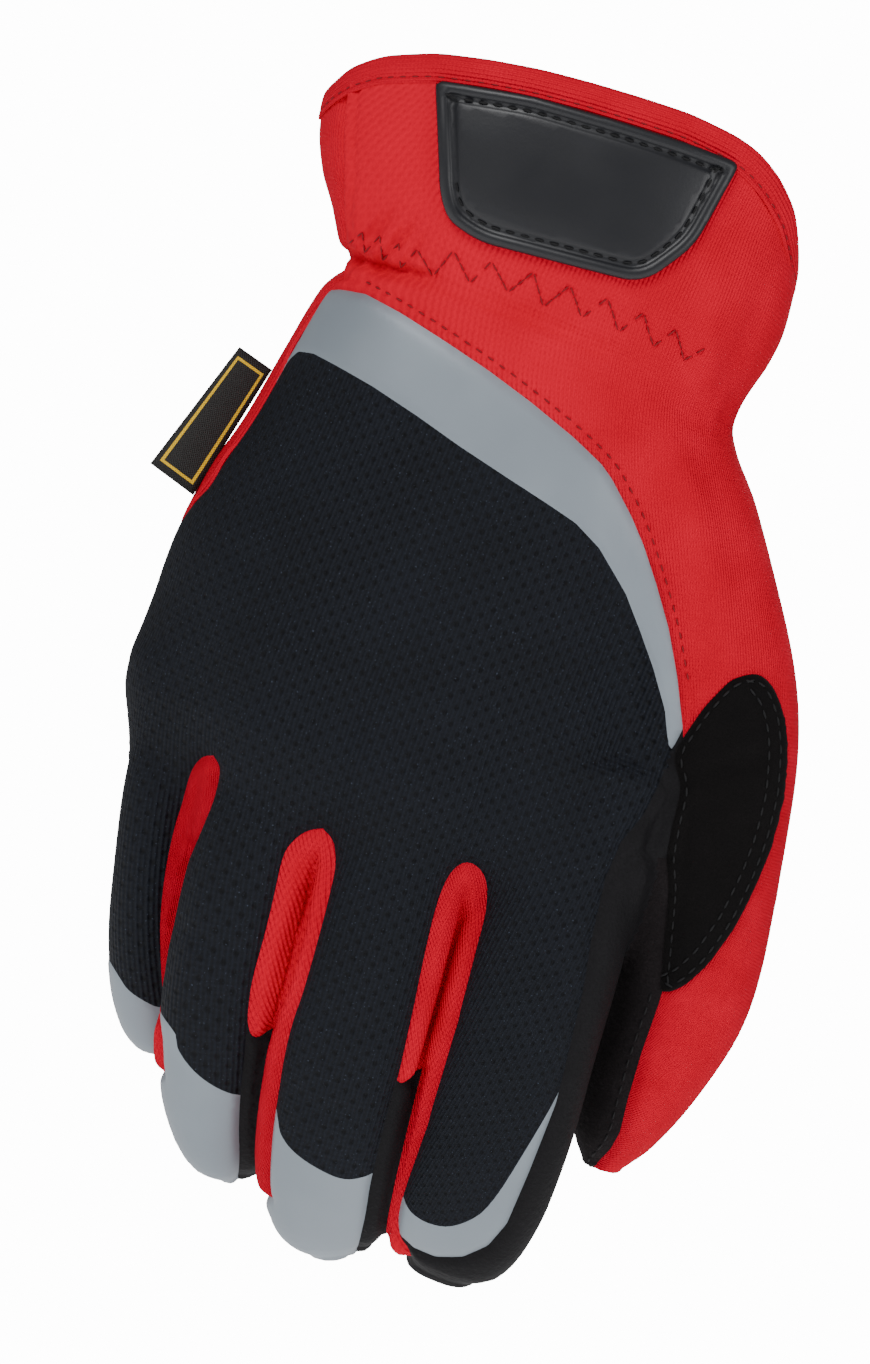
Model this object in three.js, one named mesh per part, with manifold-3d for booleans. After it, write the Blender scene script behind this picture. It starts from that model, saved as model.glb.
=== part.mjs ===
// A slip-on mechanic's glove for the right hand, filled out as a hand fills it and hanging fingers down.
// Millimetres: X runs towards the thumb, Y towards the palm and Z up. The origin is the middle of the cuff's opening.
// The glove is one hollow form, a hand, four fingers and a thumb, cut along its seams into panels of cloth.
import * as THREE from "three";
import { mergeVertices } from "three/addons/utils/BufferGeometryUtils.js";
import Module from "manifold-3d";

const wasm = await Module();
wasm.setup();

// Driving sizes
const cuffWidth = 98; // across the opening
const cuffDepth = 62; // from the back of the hand to the palm at the opening
const cuffLength = 34; // from the opening's sides down to the gathered wrist
const wristWidth = 82;
const wristDepth = 49;
const palmWidth = 105; // across the knuckles
const palmDepth = 42;
const handLength = 106; // from the gathered wrist to the slots between the fingers
const wall = 1.6; // knit cloth and synthetic leather
const fingerGap = 0.6; // between fingers that press on each other
const seamGap = 0.3; // between neighbouring panels, and under a piece that is sewn on
const rimRise = 15; // how far the cuff's edge arches above the opening's sides
const hemHeight = 5;
const hemThickness = 2.8;
const gatherCount = 7; // puckers that the wrist elastic draws around the cuff
const gatherDepth = 1.4;
const gatherReach = 8; // how far a pucker runs above and below the elastic
const badgeWidth = 60.5;
const badgeHeight = 26;
const badgeThickness = 1.5;
const badgeRim = 2.6; // width of the badge's raised border
const badgeRimRise = 0.8;
const saddleThickness = 1; // the suede patch between thumb and first finger
const labelWidth = 9.5;
const labelHeight = 28;
const labelThickness = 1.2;

// The fingers: length from the slot to the tip, width and depth of the filled tube, and where it leaves the palm.
// across is a share of palmWidth and deep of palmDepth. lean turns the root towards the thumb and turn the tip, flex
// and curl bend them towards the palm. The seams are angles round the tube, 0 at the back of the hand, rising
// towards the thumb. wallEnd is the share of the length where the knit side wall that faces the thumb ends.
const fingers = {
  index: {
    length: 78, width: 31.4, depth: 26, across: 0.455, deep: -0.12, lean: 5, turn: -7, flex: 6, curl: 26,
    seamLeft: -43, seamRight: 45, wallEnd: 0.98,
  },
  middle: {
    length: 84, width: 29, depth: 26, across: 0.157, deep: -0.165, lean: 3, turn: 20, flex: 6, curl: 29,
    seamLeft: -46, seamRight: 45, wallEnd: 0.5,
  },
  ring: {
    length: 79, width: 25, depth: 24, across: -0.105, deep: -0.06, lean: 4, turn: 30, flex: 7, curl: 32,
    seamLeft: -57, seamRight: 27, wallEnd: 0.56,
  },
  little: {
    length: 59, width: 20, depth: 20, across: -0.29, deep: 0.26, lean: 11, turn: 16, flex: 8, curl: 32,
    seamLeft: -110, seamRight: 6, wallEnd: 0.6,
  },
};
const thumb = {
  length: 158, width: 31, depth: 28, across: 0.33, deep: -0.05, down: 0.03, seamLeft: -8, seamRight: 172,
};

// Rows of the cuff: down is a share of cuffLength, left and right of cuffWidth, front and back of cuffDepth
const cuffRows = [
  { down: -0.72, left: -0.49, right: 0.5, front: 0.5, back: 0.5 },
  { down: 0.06, left: -0.489, right: 0.505, front: 0.498, back: 0.498 },
  { down: 0.29, left: -0.472, right: 0.52, front: 0.49, back: 0.49 },
  { down: 0.53, left: -0.438, right: 0.527, front: 0.47, back: 0.47 },
  { down: 0.71, left: -0.405, right: 0.52, front: 0.44, back: 0.44 },
  { down: 0.87, left: -0.37, right: 0.505, front: 0.41, back: 0.41 },
];
const wristRow = { left: -0.409, right: 0.588, front: 0.49, back: 0.49 }; // shares of wristWidth and wristDepth
// Rows of the hand: down is a share of handLength, left and right of palmWidth, the rest of palmDepth. The arches
// bend each side of the hand towards the palm.
const handRows = [
  { down: 0.06, left: -0.345, right: 0.443, front: 0.57, back: 0.56, archLeft: 0.02, archRight: 0 },
  { down: 0.18, left: -0.37, right: 0.46, front: 0.57, back: 0.54, archLeft: 0.07, archRight: 0.03 },
  { down: 0.32, left: -0.396, right: 0.476, front: 0.57, back: 0.52, archLeft: 0.13, archRight: 0.06 },
  { down: 0.45, left: -0.43, right: 0.495, front: 0.57, back: 0.5, archLeft: 0.2, archRight: 0.09 },
  { down: 0.58, left: -0.45, right: 0.515, front: 0.565, back: 0.48, archLeft: 0.27, archRight: 0.11 },
  { down: 0.71, left: -0.448, right: 0.532, front: 0.55, back: 0.45, archLeft: 0.34, archRight: 0.12 },
  { down: 0.83, left: -0.435, right: 0.545, front: 0.52, back: 0.4, archLeft: 0.4, archRight: 0.12 },
  { down: 0.93, left: -0.4, right: 0.545, front: 0.46, back: 0.34, archLeft: 0.42, archRight: 0.1 },
  { down: 1, left: -0.37, right: 0.53, front: 0.36, back: 0.24, archLeft: 0.42, archRight: 0.08 },
  { down: 1.08, left: -0.35, right: 0.51, front: 0.22, back: 0.1, archLeft: 0.42, archRight: 0.08 },
];
// Profile of a finger: along is a share of its length, the others of its width and depth
const fingerRows = [
  { along: -0.35, width: 0.74, depth: 0.5 },
  { along: -0.15, width: 0.93, depth: 0.84 },
  { along: 0.1, width: 1.01, depth: 0.98 },
  { along: 0.32, width: 1, depth: 1 },
  { along: 0.54, width: 1.02, depth: 0.98 },
  { along: 0.73, width: 1, depth: 0.93 },
  { along: 0.86, width: 0.92, depth: 0.84 },
  { along: 0.95, width: 0.74, depth: 0.64 },
  { along: 1, width: 0.36, depth: 0.28 },
];
// The thumb runs from inside the hand's side: lean towards the thumb side and flex towards the palm, in degrees
const thumbRows = [
  { along: 0, width: 0.4, depth: 0.62, lean: 24, flex: 2 },
  { along: 0.15, width: 0.98, depth: 1.16, lean: 27, flex: 3 },
  { along: 0.27, width: 1.1, depth: 1.24, lean: 30, flex: 4 },
  { along: 0.39, width: 1.16, depth: 1.2, lean: 24, flex: 8 },
  { along: 0.52, width: 1.1, depth: 1.1, lean: 14, flex: 12 },
  { along: 0.64, width: 1.03, depth: 1.02, lean: 13, flex: 14 },
  { along: 0.74, width: 0.97, depth: 0.96, lean: 7, flex: 14 },
  { along: 0.82, width: 0.86, depth: 0.9, lean: -5, flex: 14 },
  { along: 0.9, width: 0.71, depth: 0.78, lean: -6, flex: 14 },
  { along: 0.96, width: 0.52, depth: 0.56, lean: 0, flex: 14 },
  { along: 1, width: 0.26, depth: 0.28, lean: 4, flex: 14 },
];
// The web between the thumb and the first finger: across and deep place its middle, as shares of the palm's sizes,
// width and depth are shares of them too
const webRows = [
  { down: 0.1, across: 0.36, deep: -0.1, width: 0.1, depth: 0.5 },
  { down: 0.25, across: 0.44, deep: -0.04, width: 0.19, depth: 0.72 },
  { down: 0.42, across: 0.5, deep: 0.02, width: 0.23, depth: 0.72 },
  { down: 0.58, across: 0.55, deep: 0.08, width: 0.21, depth: 0.6 },
  { down: 0.69, across: 0.575, deep: 0.14, width: 0.15, depth: 0.42 },
  { down: 0.75, across: 0.585, deep: 0.18, width: 0.07, depth: 0.2 },
];
// The cuff's edge as seen from the front: across is a share of half of cuffWidth, rise of rimRise
const rimRows = [
  { across: -1.04, rise: -0.3 },
  { across: -0.98, rise: -0.1 },
  { across: -0.92, rise: 0.13 },
  { across: -0.82, rise: 0.4 },
  { across: -0.61, rise: 0.65 },
  { across: -0.41, rise: 0.77 },
  { across: 0, rise: 0.92 },
  { across: 0.41, rise: 0.985 },
  { across: 0.61, rise: 0.93 },
  { across: 0.71, rise: 0.87 },
  { across: 0.82, rise: 0.7 },
  { across: 0.92, rise: 0.4 },
  { across: 0.98, rise: 0.07 },
  { across: 1.06, rise: -0.3 },
];
const bodySquareness = 2.35; // 2 is an ellipse, more is boxier
const fingerSquareness = 2.5;
const thumbSquareness = 2.2;
const bodySides = 28;
const fingerSides = 12;
const liningShare = 0.65; // sides of the hollow's surface, as a share of the outside's

// Outlines as seen from the front: across is a share of palmWidth, down of handLength, counted from the wrist
const yokeTop = [
  [-0.386, 0.262], [-0.369, 0.19], [-0.356, 0.113], [-0.331, 0.066], [-0.267, 0.044], [-0.133, 0.066],
  [0, 0.103], [0.133, 0.141], [0.248, 0.182], [0.324, 0.245], [0.4, 0.331], [0.476, 0.434], [0.533, 0.54], [0.568, 0.62],
];
const yokeBottom = [
  [0.56, 0.655], [0.505, 0.565], [0.438, 0.463], [0.362, 0.382], [0.286, 0.33], [0.171, 0.292],
  [0, 0.25], [-0.171, 0.212], [-0.314, 0.181], [-0.348, 0.196], [-0.367, 0.241],
];
const backRightEdge = [[0.56, 0.655], [0.557, 0.73], [0.535, 0.86], [0.529, 0.93], [0.56, 1.06]];
const saddleOutline = [
  [0.575, 0.6], [0.577, 0.545], [0.602, 0.485], [0.635, 0.456], [0.668, 0.449], [0.702, 0.465], [0.735, 0.51],
  [0.765, 0.56], [0.787, 0.62], [0.795, 0.7], [0.796, 0.79], [0.788, 0.9], [0.774, 0.965], [0.748, 1.02],
  [0.712, 1.075], [0.697, 1.065], [0.681, 1.01], [0.664, 0.94], [0.643, 0.87], [0.618, 0.77], [0.6, 0.67],
];
// Badge: across is a share of badgeWidth from its middle, down of badgeHeight from its upper corners
const badgeOutline = [
  [-0.5, 0.02], [-0.27, -0.06], [-0.03, -0.12], [0.25, -0.15], [0.5, -0.15], [0.452, 0.5], [0.42, 0.75], [0.34, 0.9],
  [-0.195, 1.01], [-0.28, 0.99], [-0.335, 0.92], [-0.375, 0.76],
];
const badgePlace = { across: 0.018, rise: 0.27 }; // shares of cuffWidth and rimRise

const labelPlace = { across: -0.448, down: 0.356, tilt: 17.7 }; // shares of palmWidth and handLength, and degrees

// Slots between the fingers: the crown of each arch, half its width at the foot, and its shift towards the thumb
const slots = {
  fourchette_index: { left: "middle", right: "index", across: 0.289, top: 0.965, halfWidth: 4.2, shift: 0.3 },
  fourchette_middle: { left: "ring", right: "middle", across: 0, top: 1, halfWidth: 4.9, shift: 0.3 },
  fourchette_ring: { left: "little", right: "ring", across: -0.241, top: 0.943, halfWidth: 2.8, shift: 0.4 },
};
const slotFoot = 12; // from an arch's crown down to where its two strips begin
const slotPalmSide = 0.16; // where an arch meets the palm leather, a share of palmDepth
const palmSeam = 118; // angle round a finger where its side wall meets the palm leather
const wallStart = 0.02; // share of the finger's length where its side walls begin
const wallFinish = 0.9;
const backFinish = 0.975; // share of the length where the back gives way to the leather fingertip
// Grey films on the fingertips: front-view lines from the tip, across to the thumb side and up, as shares of its width
const filmLines = {
  index: [
    [-0.75, 0.36], [-0.36, 0.3], [-0.27, 0.25], [-0.14, 0.23], [-0.01, 0.27],
    [0.115, 0.4], [0.18, 0.57], [0.24, 0.89], [0.32, 1.29], [0.75, 1.5],
  ],
  middle: [
    [-0.85, 0.8], [-0.67, 0.69], [-0.6, 0.59], [-0.46, 0.5], [-0.25, 0.45], [-0.08, 0.45], [0.09, 0.54], [0.75, 0.6],
  ],
  ring: [[-1, 1], [-0.86, 0.86], [-0.78, 0.74], [-0.62, 0.62], [-0.42, 0.54], [-0.18, 0.52], [0.7, 0.55]],
  little: [[-0.9, 0.55], [-0.72, 0.475], [-0.545, 0.35], [-0.295, 0.285], [-0.17, 0.275], [0.6, 0.28]],
};
const handSeams = { left: -98, right: 82 }; // angles round the hand where the back meets the palm leather
const cuffSeams = { left: -92, right: 128 };
const gusset = { from: -128, end: 0.5 }; // the knit that runs down the hand's outer side, as angle and share of length
const palmTop = 0.03; // share of handLength where the palm leather begins below the wrist
const wedgeReach = 4; // how far a wedge's arc stands outside the tube that it cuts

const degrees = THREE.MathUtils.degToRad;
const wristZ = -cuffLength;
const slotZ = wristZ - handLength;
const far = 3 * palmWidth; // past everything
const frontX = (share) => share * palmWidth;
const frontZ = (share) => wristZ - share * handLength;
const frontPoints = (shares) => shares.map(([across, down]) => [frontX(across), frontZ(down)]);

// A column of a table, between its rows
function between(rows, key, column, place) {
  const after = Math.min(rows.length - 1, Math.max(1, rows.findIndex((row) => row[key] >= place)));
  const low = rows[after - 1];
  const high = rows[after];
  const share = THREE.MathUtils.clamp((place - low[key]) / (high[key] - low[key]), 0, 1);
  return THREE.MathUtils.lerp(low[column], high[column], share);
}

// A three.js geometry as a manifold-3d solid, turned right side out
function solidOf(geometry) {
  const plain = new THREE.BufferGeometry().setAttribute("position", geometry.getAttribute("position"));
  plain.setIndex(geometry.index);
  const merged = mergeVertices(plain, 1e-3);
  const triVerts = new Uint32Array(merged.index.array);
  const vertProperties = merged.attributes.position.array;
  const made = new wasm.Manifold(new wasm.Mesh({ numProp: 3, vertProperties, triVerts }));
  if (made.volume() > 0) return made;
  for (let i = 0; i < triVerts.length; i += 3)
    [triVerts[i + 1], triVerts[i + 2]] = [triVerts[i + 2], triVerts[i + 1]];
  return new wasm.Manifold(new wasm.Mesh({ numProp: 3, vertProperties, triVerts }));
}

// A solid through rings of equal count, closed by a fan over each end
function loft(rings) {
  const count = rings[0].length;
  const points = rings.flat();
  const index = [];
  for (let r = 0; r < rings.length - 1; r++)
    for (let i = 0; i < count; i++) {
      const next = (r + 1) * count;
      const j = (i + 1) % count;
      index.push(r * count + i, r * count + j, next + i, r * count + j, next + j, next + i);
    }
  const ends = [[rings[0], 0, true], [rings.at(-1), (rings.length - 1) * count, false]];
  for (const [ring, first, turned] of ends) {
    points.push(ring.reduce((sum, p) => sum.add(p), new THREE.Vector3()).divideScalar(count));
    for (let i = 0; i < count; i++) {
      const pair = [first + i, first + ((i + 1) % count)];
      if (turned) pair.reverse();
      index.push(points.length - 1, ...pair);
    }
  }
  return solidOf(new THREE.BufferGeometry().setFromPoints(points).setIndex(index));
}

const joined = (solids) => solids.reduce((sum, one) => sum.add(one));

// A manifold-3d solid as a three.js geometry
function geometryOf(solid) {
  const { vertProperties, triVerts } = solid.getMesh();
  const geometry = new THREE.BufferGeometry();
  geometry.setAttribute("position", new THREE.BufferAttribute(vertProperties, 3));
  return geometry.setIndex(new THREE.BufferAttribute(triVerts, 1));
}

// The largest of the bodies in a solid, twice over, because slivers come loose when its doubled corners merge
function mainBody(solid) {
  const largest = (one) => one.decompose().reduce((best, body) => (body.volume() > best.volume() ? body : best));
  return largest(solidOf(geometryOf(largest(solid))));
}

// A front-view outline of [x, z] points, moved outwards by grow
function grown(outline, grow) {
  const area = outline.reduce((sum, [x, z], i) => {
    const [nextX, nextZ] = outline[(i + 1) % outline.length];
    return sum + x * nextZ - nextX * z;
  }, 0);
  const out = grow * Math.sign(area);
  return outline.map(([x, z], i) => {
    const before = outline[(i + outline.length - 1) % outline.length];
    const after = outline[(i + 1) % outline.length];
    const run = new THREE.Vector2(after[0] - before[0], after[1] - before[1]).normalize();
    return [x + out * run.y, z - out * run.x];
  });
}

// A front-view outline made solid from nearY to farY
function prism(outline, nearY, farY) {
  const shape = new THREE.Shape(outline.map(([x, z]) => new THREE.Vector2(x, z)));
  const geometry = new THREE.ExtrudeGeometry(shape, { depth: farY - nearY, bevelEnabled: false });
  geometry.rotateX(Math.PI / 2).translate(0, farY, 0);
  return solidOf(geometry);
}

// The outline of all that lies under a front-view line
function under(line) {
  return [[-far, line[0][1]], ...line, [far, line.at(-1)[1]], [far, -far], [-far, -far]];
}

// A point of a tube's ring: angle 0 at the back of the hand, a quarter turn on the thumb side
function ringPoint(frame, angle, grow, squareness) {
  const s = Math.sin(angle);
  const c = Math.cos(angle);
  const across = Math.sign(s) * Math.abs(s) ** (2 / squareness);
  const deep = -Math.sign(c) * Math.abs(c) ** (2 / squareness);
  const depth = (deep < 0 ? frame.front : frame.back) + grow;
  const arch = (across < 0 ? frame.archLeft : frame.archRight) * across * across;
  const pucker = 1 + (frame.pucker / frame.halfWidth) * Math.cos(gatherCount * angle);
  return frame.centre
    .clone()
    .addScaledVector(frame.across, across * (frame.halfWidth + grow) * pucker)
    .addScaledVector(frame.deep, deep * depth * pucker + arch);
}

// The hand's frames, from above the cuff's edge down to the finger slots. along is a share of handLength.
function handFrames() {
  const frame = (z, left, right, front, back, archLeft, archRight) => ({
    centre: new THREE.Vector3((left + right) / 2, 0, z),
    across: new THREE.Vector3(1, 0, 0),
    deep: new THREE.Vector3(0, 1, 0),
    down: new THREE.Vector3(0, 0, -1),
    along: (wristZ - z) / handLength,
    halfWidth: (right - left) / 2,
    front,
    back,
    archLeft,
    archRight,
    pucker: gatherDepth * Math.exp(-(((z - wristZ) / gatherReach) ** 2)),
  });
  const cuff = cuffRows.map((row) =>
    frame(-row.down * cuffLength, row.left * cuffWidth, row.right * cuffWidth,
      row.front * cuffDepth, row.back * cuffDepth, 0, 0));
  const wrist = frame(wristZ, wristRow.left * wristWidth, wristRow.right * wristWidth,
    wristRow.front * wristDepth, wristRow.back * wristDepth, 0, 0);
  const hand = handRows.map((row) =>
    frame(frontZ(row.down), frontX(row.left), frontX(row.right), row.front * palmDepth,
      row.back * palmDepth, row.archLeft * palmDepth, row.archRight * palmDepth));
  return [...cuff, wrist, ...hand];
}

// A tube's frames from its root at slot 0, along a line that leans towards the thumb and bends towards the palm
function tubeFrames(root, rows, { length, width, depth }, leanAt, flexAt) {
  const steps = 12;
  const direction = (along) => {
    const lean = degrees(leanAt(along));
    const flex = degrees(flexAt(along));
    return new THREE.Vector3(Math.sin(lean), Math.sin(flex), -Math.cos(lean) * Math.cos(flex)).normalize();
  };
  const centre = root.clone().addScaledVector(direction(rows[0].along), rows[0].along * length);
  let reached = rows[0].along;
  return rows.map((row) => {
    const step = (row.along - reached) / steps;
    for (let i = 0; i < steps; i++) centre.addScaledVector(direction(reached + step * (i + 0.5)), step * length);
    reached = row.along;
    const down = direction(reached);
    const deep = new THREE.Vector3(0, 1, 0).addScaledVector(down, -down.y).normalize();
    return {
      centre: centre.clone(),
      across: new THREE.Vector3().crossVectors(down, deep),
      deep,
      down,
      along: reached,
      halfWidth: (row.width * width) / 2,
      front: (row.depth * depth) / 2,
      back: (row.depth * depth) / 2,
      archLeft: 0,
      archRight: 0,
      pucker: 0,
    };
  });
}

function fingerFrames(finger) {
  const root = new THREE.Vector3(frontX(finger.across), finger.deep * palmDepth, slotZ);
  const bend = (along, start, more) => start + more * Math.max(along, 0);
  return tubeFrames(root, fingerRows, finger, (along) => bend(along * Math.abs(along), finger.lean, finger.turn),
    (along) => bend(along, finger.flex, finger.curl));
}

// The web's frames, each with the share of handLength that it lies at
function webFrames() {
  return webRows.map((row) => ({
    centre: new THREE.Vector3(frontX(row.across), row.deep * palmDepth, frontZ(row.down)),
    across: new THREE.Vector3(1, 0, 0),
    deep: new THREE.Vector3(0, 1, 0),
    down: new THREE.Vector3(0, 0, -1),
    along: row.down,
    halfWidth: (row.width * palmWidth) / 2,
    front: (row.depth * palmDepth) / 2,
    back: (row.depth * palmDepth) / 2,
    archLeft: 0,
    archRight: 0,
    pucker: 0,
  }));
}

function thumbFrames() {
  const root = new THREE.Vector3(frontX(thumb.across), thumb.deep * palmDepth, frontZ(thumb.down));
  const column = (name) => (along) => between(thumbRows, "along", name, along);
  return tubeFrames(root, thumbRows, thumb, column("lean"), column("flex"));
}

const hand = { frames: handFrames(), squareness: bodySquareness, sides: bodySides };
const thumbTube = { frames: thumbFrames(), squareness: thumbSquareness, sides: fingerSides };
const webTube = { frames: webFrames(), squareness: 2, sides: fingerSides };
const fingerTubes = Object.fromEntries(Object.entries(fingers).map(([name, finger]) => [
  name, { frames: fingerFrames(finger), squareness: fingerSquareness, sides: fingerSides },
]));

// A tube made solid and grown outwards, its closed end too
function tubeSolid({ frames, squareness, sides }, grow) {
  const count = grow < 0 ? Math.round(sides * liningShare) : sides;
  const rings = frames.map((frame) =>
    Array.from({ length: count }, (_, i) => ringPoint(frame, (2 * Math.PI * i) / count, grow, squareness)));
  const { down } = frames.at(-1);
  rings.at(-1).forEach((point) => point.addScaledVector(down, grow));
  rings.at(-2).forEach((point) => point.addScaledVector(down, grow * 0.7));
  return loft(rings);
}

// A finger made solid and grown outwards, pressed flat where it meets its neighbour on the thumb's side
function fingerSolid(name, grow) {
  const names = Object.keys(fingers);
  const neighbour = names[names.indexOf(name) - 1];
  const own = tubeSolid(fingerTubes[name], grow);
  return neighbour ? own.subtract(tubeSolid(fingerTubes[neighbour], fingerGap - grow)) : own;
}

// The whole glove's form, grown outwards
function gloveForm(grow) {
  const tubes = [hand, webTube, thumbTube].map((tube) => tubeSolid(tube, grow));
  return joined([...tubes, ...Object.keys(fingers).map((name) => fingerSolid(name, grow))]);
}

// A tube's frame between its rows, with no puckers
function frameAt({ frames }, along) {
  const after = Math.min(frames.length - 1, Math.max(1, frames.findIndex((frame) => frame.along >= along)));
  const [low, high] = [frames[after - 1], frames[after]];
  const share = (along - low.along) / (high.along - low.along);
  const mixed = { along, pucker: 0, centre: low.centre.clone().lerp(high.centre, share) };
  for (const column of ["halfWidth", "front", "back", "archLeft", "archRight"])
    mixed[column] = THREE.MathUtils.lerp(low[column], high[column], share);
  for (const direction of ["across", "deep", "down"])
    mixed[direction] = low[direction].clone().lerp(high[direction], share).normalize();
  return mixed;
}

// A wedge of a tube between two angles and two shares of its length, reaching past its surface, and grown sideways
function wedge(tube, from, to, start, end, grow) {
  const { frames } = tube;
  const length = frames[0].centre.distanceTo(frames.at(-1).centre) / (frames.at(-1).along - frames[0].along);
  const first = start - grow / length;
  const last = end + grow / length;
  const inner = frames.filter(({ along }) => along > first + 0.01 && along < last - 0.01);
  const turn = grow / frames[Math.floor(frames.length / 2)].front;
  const steps = Math.ceil(Math.abs(to - from) / 24);
  return loft([frameAt(tube, first), ...inner, frameAt(tube, last)].map((frame) => {
    const arc = Array.from({ length: steps + 1 }, (_, i) => {
      const angle = THREE.MathUtils.lerp(degrees(from) - turn, degrees(to) + turn, i / steps);
      return ringPoint({ ...frame, pucker: 0 }, angle, wedgeReach, tube.squareness);
    });
    return [frame.centre.clone(), ...arc];
  }));
}

// The same of a finger, kept off its neighbours
function fingerWedge(name, from, to, start, end, grow) {
  return wedge(fingerTubes[name], from, to, start, end, grow).intersect(tubeSolid(fingerTubes[name], seamGap));
}

// Regions that cut the cloth into panels. Each is grown by the seam's gap when it is taken from what is left.
function fourchetteRegion({ left, right, across, top, halfWidth, shift }, grow) {
  const steps = 6;
  const crown = Array.from({ length: steps + 1 }, (_, i) => {
    const angle = Math.PI * (1 - i / steps);
    return [frontX(across) + halfWidth * Math.cos(angle), frontZ(top) - halfWidth * (1 - Math.sin(angle))];
  });
  const footX = frontX(across) + shift;
  const footZ = frontZ(top) - slotFoot;
  const outline = [...crown, [footX + halfWidth, footZ], [footX - halfWidth, footZ]];
  return joined([
    prism(grown(outline, grow), -far, slotPalmSide * palmDepth + grow),
    fingerWedge(left, fingers[left].seamRight, palmSeam, wallStart, fingers[left].wallEnd, grow),
    fingerWedge(right, -palmSeam, fingers[right].seamLeft, wallStart, wallFinish, grow),
  ]);
}

function yokeRegion(grow) {
  return prism(grown(frontPoints([...yokeTop, ...yokeBottom]), grow), -far, 0.1 * palmDepth);
}

function filmRegion(name, grow) {
  const { width, seamLeft, seamRight } = fingers[name];
  const tip = fingerTubes[name].frames.at(-1).centre;
  const line = filmLines[name].map(([across, up]) => [tip.x + across * width, tip.z + up * width + grow]);
  return prism(under(line), -far, far)
    .intersect(fingerWedge(name, seamLeft, seamRight, 0.45, backFinish, grow));
}

function backRegion(grow) {
  const backs = Object.entries(fingers).map(([name, { seamLeft, seamRight }]) =>
    fingerWedge(name, seamLeft, seamRight, -0.28, backFinish, grow));
  const outline = frontPoints([...yokeTop, ...backRightEdge, [1.3, 1.2], [1.3, 2.5], [-1.3, 2.5], [-1.3, 0.3]]);
  return joined([wedge(hand, handSeams.left, handSeams.right, -0.02, 1.03, grow), ...backs])
    .intersect(prism(grown(outline, grow), -far, far));
}

function gauntletRegion(grow) {
  const outline = frontPoints([...yokeTop, [1.3, 0.62], [1.3, -1], [-1.3, -1], [-1.3, 0.262]]);
  const wrist = wedge(hand, cuffSeams.left, cuffSeams.right, -0.5, 0.66, grow);
  return wedge(thumbTube, thumb.seamLeft, thumb.seamRight, 0.01, 0.99, grow)
    .add(wrist.intersect(prism(grown(outline, grow), -far, far)));
}

function cuffPalmRegion(grow) {
  const cuff = wedge(hand, cuffSeams.right - 360, cuffSeams.left, -0.5, palmTop, grow);
  return cuff.add(wedge(hand, gusset.from, handSeams.left, 0, gusset.end, grow));
}

// Outline of all that lies lower than the cuff's edge by drop, as seen from the front
function belowRim(drop) {
  return under(rimRows.map(({ across, rise }) => [(across * cuffWidth) / 2, rise * rimRise - drop]));
}

// The cloth, cut off under the hem, then cut into panels one after another
let rest = gloveForm(0).subtract(gloveForm(-wall)).intersect(prism(belowRim(hemHeight + seamGap), -far, far));
const solids = {};
function cut(name, region) {
  const own = region(0);
  solids[name] = mainBody(rest.intersect(own));
  rest = rest.subtract(region(seamGap).add(own));
}
for (const [name, slot] of Object.entries(slots)) cut(name, (grow) => fourchetteRegion(slot, grow));
cut("reflective_yoke", yokeRegion);
for (const name of Object.keys(fingers)) cut("tip_film_" + name, (grow) => filmRegion(name, grow));
cut("back_panel", backRegion);
cut("gauntlet_back", gauntletRegion);
cut("thumb_palm", (grow) => wedge(thumbTube, thumb.seamRight - 360, thumb.seamLeft, 0.4, 0.99, grow));
cut("gauntlet_palm", cuffPalmRegion);
solids.palm_panel = mainBody(rest);

// The bound edge of the cuff, folded over the cloth's edge
function makeHem() {
  const outer = (hemThickness - wall) / 2;
  return tubeSolid(hand, outer)
    .subtract(tubeSolid(hand, outer - hemThickness))
    .intersect(prism(belowRim(0), -far, far))
    .subtract(prism(belowRim(hemHeight), -far, far));
}

// The rubber badge on the back of the cuff, a bare field inside a raised border
function makeBadge() {
  const outline = badgeOutline.map(([across, down]) => [
    badgePlace.across * cuffWidth + across * badgeWidth, badgePlace.rise * rimRise - down * badgeHeight,
  ]);
  const whole = prism(outline, -far, 0);
  const field = prism(grown(outline, -badgeRim), -far, 0);
  const under = tubeSolid(hand, seamGap);
  const plate = tubeSolid(hand, seamGap + badgeThickness).intersect(whole);
  const border = tubeSolid(hand, seamGap + badgeThickness + badgeRimRise).intersect(whole.subtract(field));
  return plate.add(border).subtract(under);
}

// The suede patch over the web and the thumb's root
function makeSaddle() {
  const form = (grow) => joined([hand, webTube, thumbTube].map((tube) => tubeSolid(tube, grow)));
  return form(seamGap + saddleThickness)
    .intersect(prism(frontPoints(saddleOutline), -far, 0.1 * palmDepth))
    .subtract(form(seamGap));
}

// The folded woven label in the seam of the hand's outer side
function makeLabel() {
  const box = new THREE.BoxGeometry(labelWidth, labelThickness, labelHeight);
  box.rotateY(degrees(labelPlace.tilt));
  box.translate(frontX(labelPlace.across), (hand.frames.at(-5).archLeft * 2) / 3, frontZ(labelPlace.down));
  return solidOf(box).subtract(tubeSolid(hand, seamGap));
}

solids.cuff_hem = makeHem();
solids.cuff_badge = mainBody(makeBadge());
solids.saddle_patch = mainBody(makeSaddle());
solids.side_label = mainBody(makeLabel());

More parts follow.
